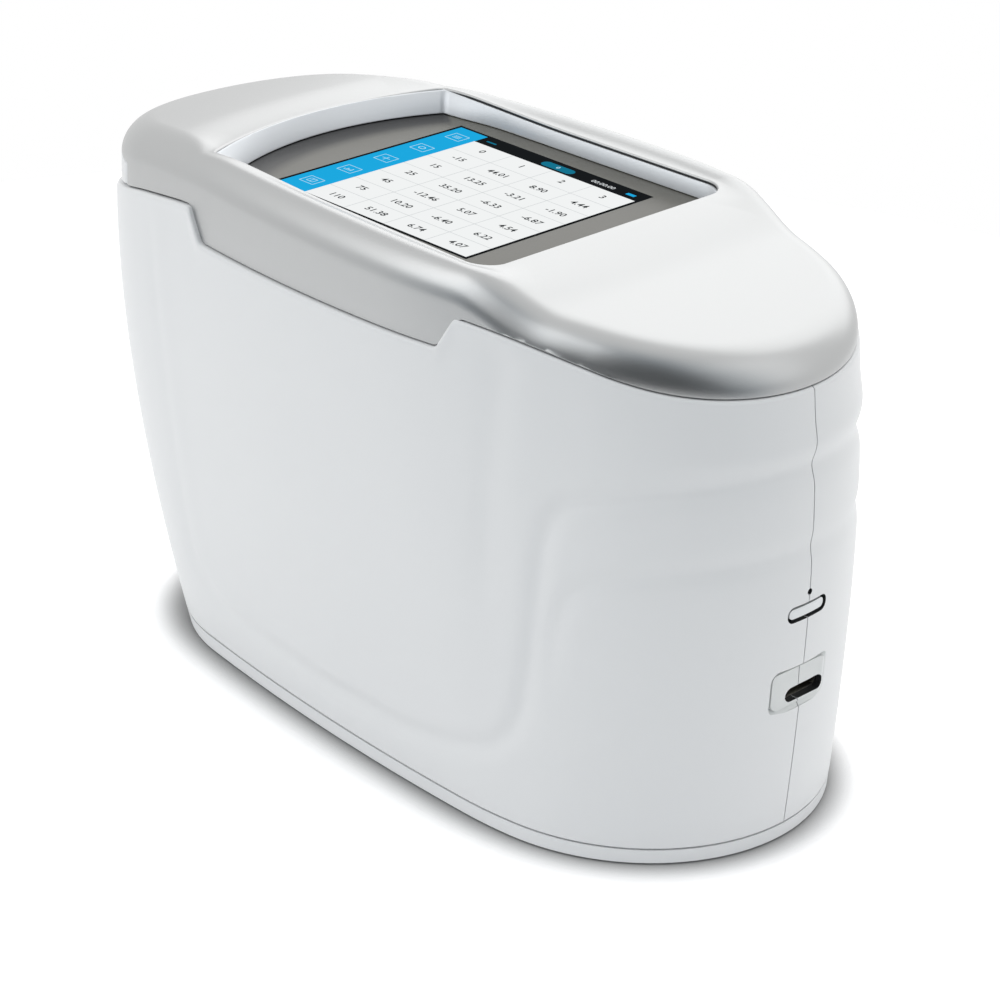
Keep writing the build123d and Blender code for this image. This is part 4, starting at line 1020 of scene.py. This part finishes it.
def addIcon(kind, x, y):
    # toolbar signs: each a small outline box with a different drawing in it
    addFrame(x, y, *screen["iconBox"], screen["iconLine"], paleBlue, 3)
    if kind == 0:
        addFrame(x, y, 1.0, 0.9, 0.2, paleBlue, 4)
    elif kind == 3:
        addPill(x, y, 1.0, 0.8, paleBlue, 4)
        addPill(x, y, 0.75, 0.55, blue, 5)
    for x0, x1, y0, y1 in screen["iconAreas"][kind]:
        addArea(x + x0, x + x1, y + y0, y + y1, paleBlue, 4)


def drawTable(left, top):
    # thin grid lines, and in each cell an angle, a plain number or the column's number
    c = screen
    stepX, stepY = (c["x1"] - left) / c["columns"], (top - c["y0"]) / c["rows"]
    half = c["line"] / 2
    for i in range(1, c["columns"]):
        addArea(left + i * stepX - half, left + i * stepX + half, c["y0"], top, gridGrey, 3)
    for j in range(1, c["rows"]):
        y = c["y0"] + j * stepY
        addArea(left, c["x1"], y - half, y + half, gridGrey, 3)
    rng = np.random.default_rng(7)
    lowest, highFirst, high = c["readings"]
    for j in range(c["rows"]):
        for i in range(c["columns"]):
            if i == 0:
                value = c["angles"][j]
            elif j == c["rows"] - 1:
                value = str(i)
            else:
                value = f"{rng.uniform(lowest, highFirst if i == 1 else high):.2f}"
            x, y = left + (i + 0.5) * stepX, c["y0"] + (j + 0.5) * stepY
            addFigures(value, x, y, c["figure"], ink, 4)


def drawScreen():
    # black rim, white table, blue toolbar with its signs, and the status line
    c, edge = screen, screen["edge"]
    left, top = c["x0"] + c["toolbar"], c["y1"] - c["status"]
    addArea(c["x0"] - edge, c["x1"] + edge, c["y0"] - edge, c["y1"] + edge, black, 1)
    addArea(left, c["x1"], c["y0"], top, white, 2)
    addArea(c["x0"], left, c["y0"], c["y1"], blue, 2)
    drawTable(left, top)
    count, first, spacing = c["icons"]
    for k in range(count):
        addIcon(k, c["x0"] + c["toolbar"] / 2, c["y0"] + first + spacing * k)
    middle = c["y1"] - c["status"] / 2
    pillX = (c["x0"] + c["x1"]) / 2 + 4
    addPill(pillX, middle, 5.0, 1.5, teal, 3)
    addFigures("0", pillX, middle, 1.8, paleBlue, 4)
    addPill(left + 3.5, middle, 1.6, 0.35, teal, 3)
    addFigures("00:00:00", c["x1"] - 12, middle, 2.1, gridGrey, 3)
    addArea(c["x1"] - 4.6, c["x1"] - 2.0, middle - 0.6, middle + 0.6, blue, 3)


drawScreen()
newMesh("displayPicture", patches["points"], patches["faces"], "housing", screenColours, (),
        slotIndex=patches["slots"], closed=False)
print("display drawn")


def clearGlass(name, colour, rough):
    # optical glass: light passes with a faint tint, and a ripple of about 8 mm bends it a little
    return grained(name, 120.0, 0.02, 0.2 * mm,
                   {"Base Color": hexColor(colour), "Roughness": rough, "IOR": 1.5,
                    "Transmission Weight": 1.0})[0]


# the pieces that keep the solids' own form get a finish by the record's material slots
finishes = {
    "white_shell": whiteAbs,
    "silver_cover": silverPaint,
    "trim_bright": trimSatin,
    "lens_glass": lensGlass,
    # a polished mould makes the key glossier than the shell round it
    "key_white": mouldedPlastic("keyWhiteAbs", "#e6e8e8", "#e1e4e5", 0.3, 0.5, 0.05),
    # the unlit panel's front is smooth and almost black
    "display": mouldedPlastic("displayPanelBlack", "#17191b", "#121416", 0.25, 1.0, 0.02),
    # eroded moulds leave these dull, one near black and one mid grey
    "black_plastic": mouldedPlastic("blackPbtMoulded", "#1b1c1e", "#232426", 0.5, 0.4, 0.2),
    "grey_plastic": mouldedPlastic("greyPcAbsMoulded", "#6d7175", "#777b7f", 0.5, 0.5, 0.2),
    # filled rubber scatters light, so it is matt with hardly any highlight
    "rubber": mouldedPlastic("rubberMoulded", "#3a3b3c", "#444546", 0.8, 0.3, 0.4),
    # dyed anodising over milling marks: dark, with a soft metallic sheen
    "black_anodised": metal("aluminiumBlackAnodised", "#242528", 0.45, 0.3, 0.1, 0.7, (1, 6, 1)),
    # milling marks along X draw its highlights out sideways
    "aluminium": metal("aluminiumMachined", "#c3c6c9", 0.32, 0.3, 0.08, 1.0, (8, 1, 1)),
    # a zinc coat with a coarse spangle gives uneven, greyish shine
    "sheet_metal": metal("steelSheetZincPlated", "#b2b5b6", 0.38, 1.2, 0.06, 1.0, (1, 3, 1)),
    # polished to a mirror, so only reflections and the faint tint show it
    "optic_glass": clearGlass("opticalGlassPolished", "#eef6f4", 0.02),
    # a smooth extruded jacket in signal orange
    "fibre": mouldedPlastic("fibreJacketExtruded", "#d9812f", "#cf7829", 0.4, 0.8, 0.1),
    # lacquer over glass weave: green, half glossy, with the weave's slight unevenness
    "board": mouldedPlastic("boardSolderMask", "#1d5a3a", "#236444", 0.35, 1.2, 0.15),
    # thin shrunk film, smooth and evenly blue
    "battery": mouldedPlastic("batterySleeveShrunk", "#2f6fa8", "#2a669d", 0.35, 2.0, 0.05),
    # nickel over turned steel: warm, bright, with fine rings
    "steel": metal("steelScrewNickelPlated", "#b9b7b0", 0.3, 0.25, 0.1, 1.0, (1, 1, 4)),
}
for part in frame["record"]["subparts"]:
    obj = nodes[part["node"]]
    obj.data.materials.clear()
    obj.data.materials.append(finishes[part["material_slot"]])

# camera from the photograph's vanishing points
view = {
    "place": (0.4727, -0.4930, 0.3770),
    "turn": (64.1266, -2.6579, 44.3284),      # degrees about X, Y and Z
    "lens": 114.1,
}
camera = newObject("camera", bpy.data.cameras.new("camera"))
camera.data.lens = view["lens"]
camera.data.sensor_width = 36.0
turned = Euler([math.radians(a) for a in view["turn"]]).to_matrix().to_4x4()
camera.matrix_world = Matrix.Translation(view["place"]) @ turned
bpy.context.scene.camera = camera
bpy.context.scene.view_settings.view_transform = "Standard"

studio = {
    "lit": 0.83,                  # strength of the light tent's light on things
    "openWay": (0.6, -0.8, 0.0),  # towards the camera the tent is open
    "openFrom": (0.1, 0.85),      # cosines between which the opening darkens
    "openLight": 0.65,            # what is left of the light from there
    "openSeen": 0.03,             # and of what reflections see there
    "openTint": "#a8c6dc",
    "paperRadius": 0.36,
    # a painted shadow: ambient occlusion mixes grey into the paper's colour round the foot
    "paintedShadowReach": 0.013,            # the paper darkens where something is nearer than this
    "paintedShadowFrom": (0.4, 0.95),
    "paper": "#fbfbfb",
    # the grey of the painted shadow round the foot
    "paperPaintedShadow": "#8e8e8e",
    "paperLift": 0.25,
}


def combined(tree, operation, first, second):
    return addNode(tree, "Math", {"operation": operation}, {0: first, 1: second})


def whiteTo(tree, lit, shown):
    # a strength that is 'shown' for camera, glossy and transmission rays and 'lit' for the rest
    path = addNode(tree, "LightPath")
    first = combined(tree, "MAXIMUM", (path, "Is Camera Ray"), (path, "Is Glossy Ray"))
    direct = combined(tree, "MAXIMUM", (first, "Value"), (path, "Is Transmission Ray"))
    return addNode(tree, "MapRange", {"To Min": lit, "To Max": shown},
                   {"Value": (direct, "Value")})


world = bpy.data.worlds.new("studio")
bpy.context.scene.world = world
world.use_nodes = True
w = world.node_tree
w.nodes.clear()
strength = whiteTo(w, studio["lit"], 1.0)
# less light comes from the tent's opening, and reflections are darker there
way = addNode(w, "TexCoord")
aim = addNode(w, "VectorMath",
              {"operation": "DOT_PRODUCT", 1: Vector(studio["openWay"]).normalized()},
              {0: (way, "Generated")})
seen = addNode(w, "LightPath")
dark = addNode(w, "MapRange", {"To Min": studio["openLight"], "To Max": studio["openSeen"]},
               {"Value": (seen, "Is Glossy Ray")})
opening = addNode(w, "MapRange",
                  {"interpolation_type": "SMOOTHSTEP", "From Min": studio["openFrom"][0],
                   "From Max": studio["openFrom"][1], "To Min": 1.0},
                  {"Value": (aim, "Value"), "To Max": (dark, "Result")})
share = combined(w, "MAXIMUM", (opening, "Result"), (seen, "Is Camera Ray"))
total = combined(w, "MULTIPLY", (strength, "Result"), (share, "Value"))
tint = mixColours(w, studio["openTint"], "#ffffff", (share, "Value"))
glow = addNode(w, "Background", {}, {"Strength": (total, "Value"), "Color": (tint, 2)})
addNode(w, "OutputWorld", {}, {"Surface": (glow, "Background")})

# a round sheet of matt white paper; where the camera or a reflection sees it, it is lifted to
# white, and round the foot a painted shadow, grey mixed into its colour by ambient occlusion,
# keeps it dark
around = np.linspace(0, 2 * math.pi, 97)[:-1]
disc = np.column_stack([np.cos(around), np.sin(around), 0 * around]) * studio["paperRadius"]
floorMesh = bpy.data.meshes.new("floor")
floorMesh.from_pydata(disc.tolist(), [], [tuple(range(len(disc)))])
floor = newObject("floor", floorMesh)
floorPaint, t = newMaterial("studioPaperWithPaintedShadow")
shown = whiteTo(t, 0.0, 1.0)
# painted shadow: the nearer the object, the more grey goes into the paper's colour and the less it
# is lifted
gap = addNode(t, "AmbientOcclusion", {"samples": 32, "Distance": studio["paintedShadowReach"]})
contact = addNode(t, "MapRange",
                  {"interpolation_type": "SMOOTHSTEP", "From Min": studio["paintedShadowFrom"][0],
                   "From Max": studio["paintedShadowFrom"][1]}, {"Value": (gap, "AO")})
plain = addNode(t, "Math", {"operation": "SUBTRACT", 0: 1.0}, {1: (shown, "Result")})
clear = combined(t, "MAXIMUM", (contact, "Result"), (plain, "Value"))
tone = mixColours(t, studio["paperPaintedShadow"], studio["paper"], (clear, "Value"))
both = combined(t, "MULTIPLY", (shown, "Result"), (contact, "Result"))
lift = addNode(t, "Math", {"operation": "MULTIPLY", 1: studio["paperLift"]}, {0: (both, "Value")})
s = addNode(t, "BsdfPrincipled", {"Roughness": 0.9, "Emission Color": (1, 1, 1, 1)},
            {"Base Color": (tone, 2), "Emission Strength": (lift, "Value")})
addNode(t, "OutputMaterial", {}, {"Surface": (s, "BSDF")})
floorMesh.materials.append(floorPaint)

# name, place and size in metres, power in watts; all aim at the middle of the object
lamps = [
    ("keyLamp", (-0.45, -1.2, 1.1), 1.3, 8.0),
    ("fillLamp", (1.2, 0.3, 0.8), 1.3, 2.2),
    ("backLamp", (-0.42, 1.15, 0.95), 1.8, 9.2),
]
lampAim = Vector((0, 0, 0.06))
for name, place, size, power in lamps:
    lamp = bpy.data.lights.new(name, "AREA")
    lamp.size = size
    lamp.energy = power
    obj = newObject(name, lamp)
    obj.location = place
    obj.rotation_mode = "QUATERNION"
    obj.rotation_quaternion = (lampAim - Vector(place)).to_track_quat("-Z", "Y")
print("stage made")
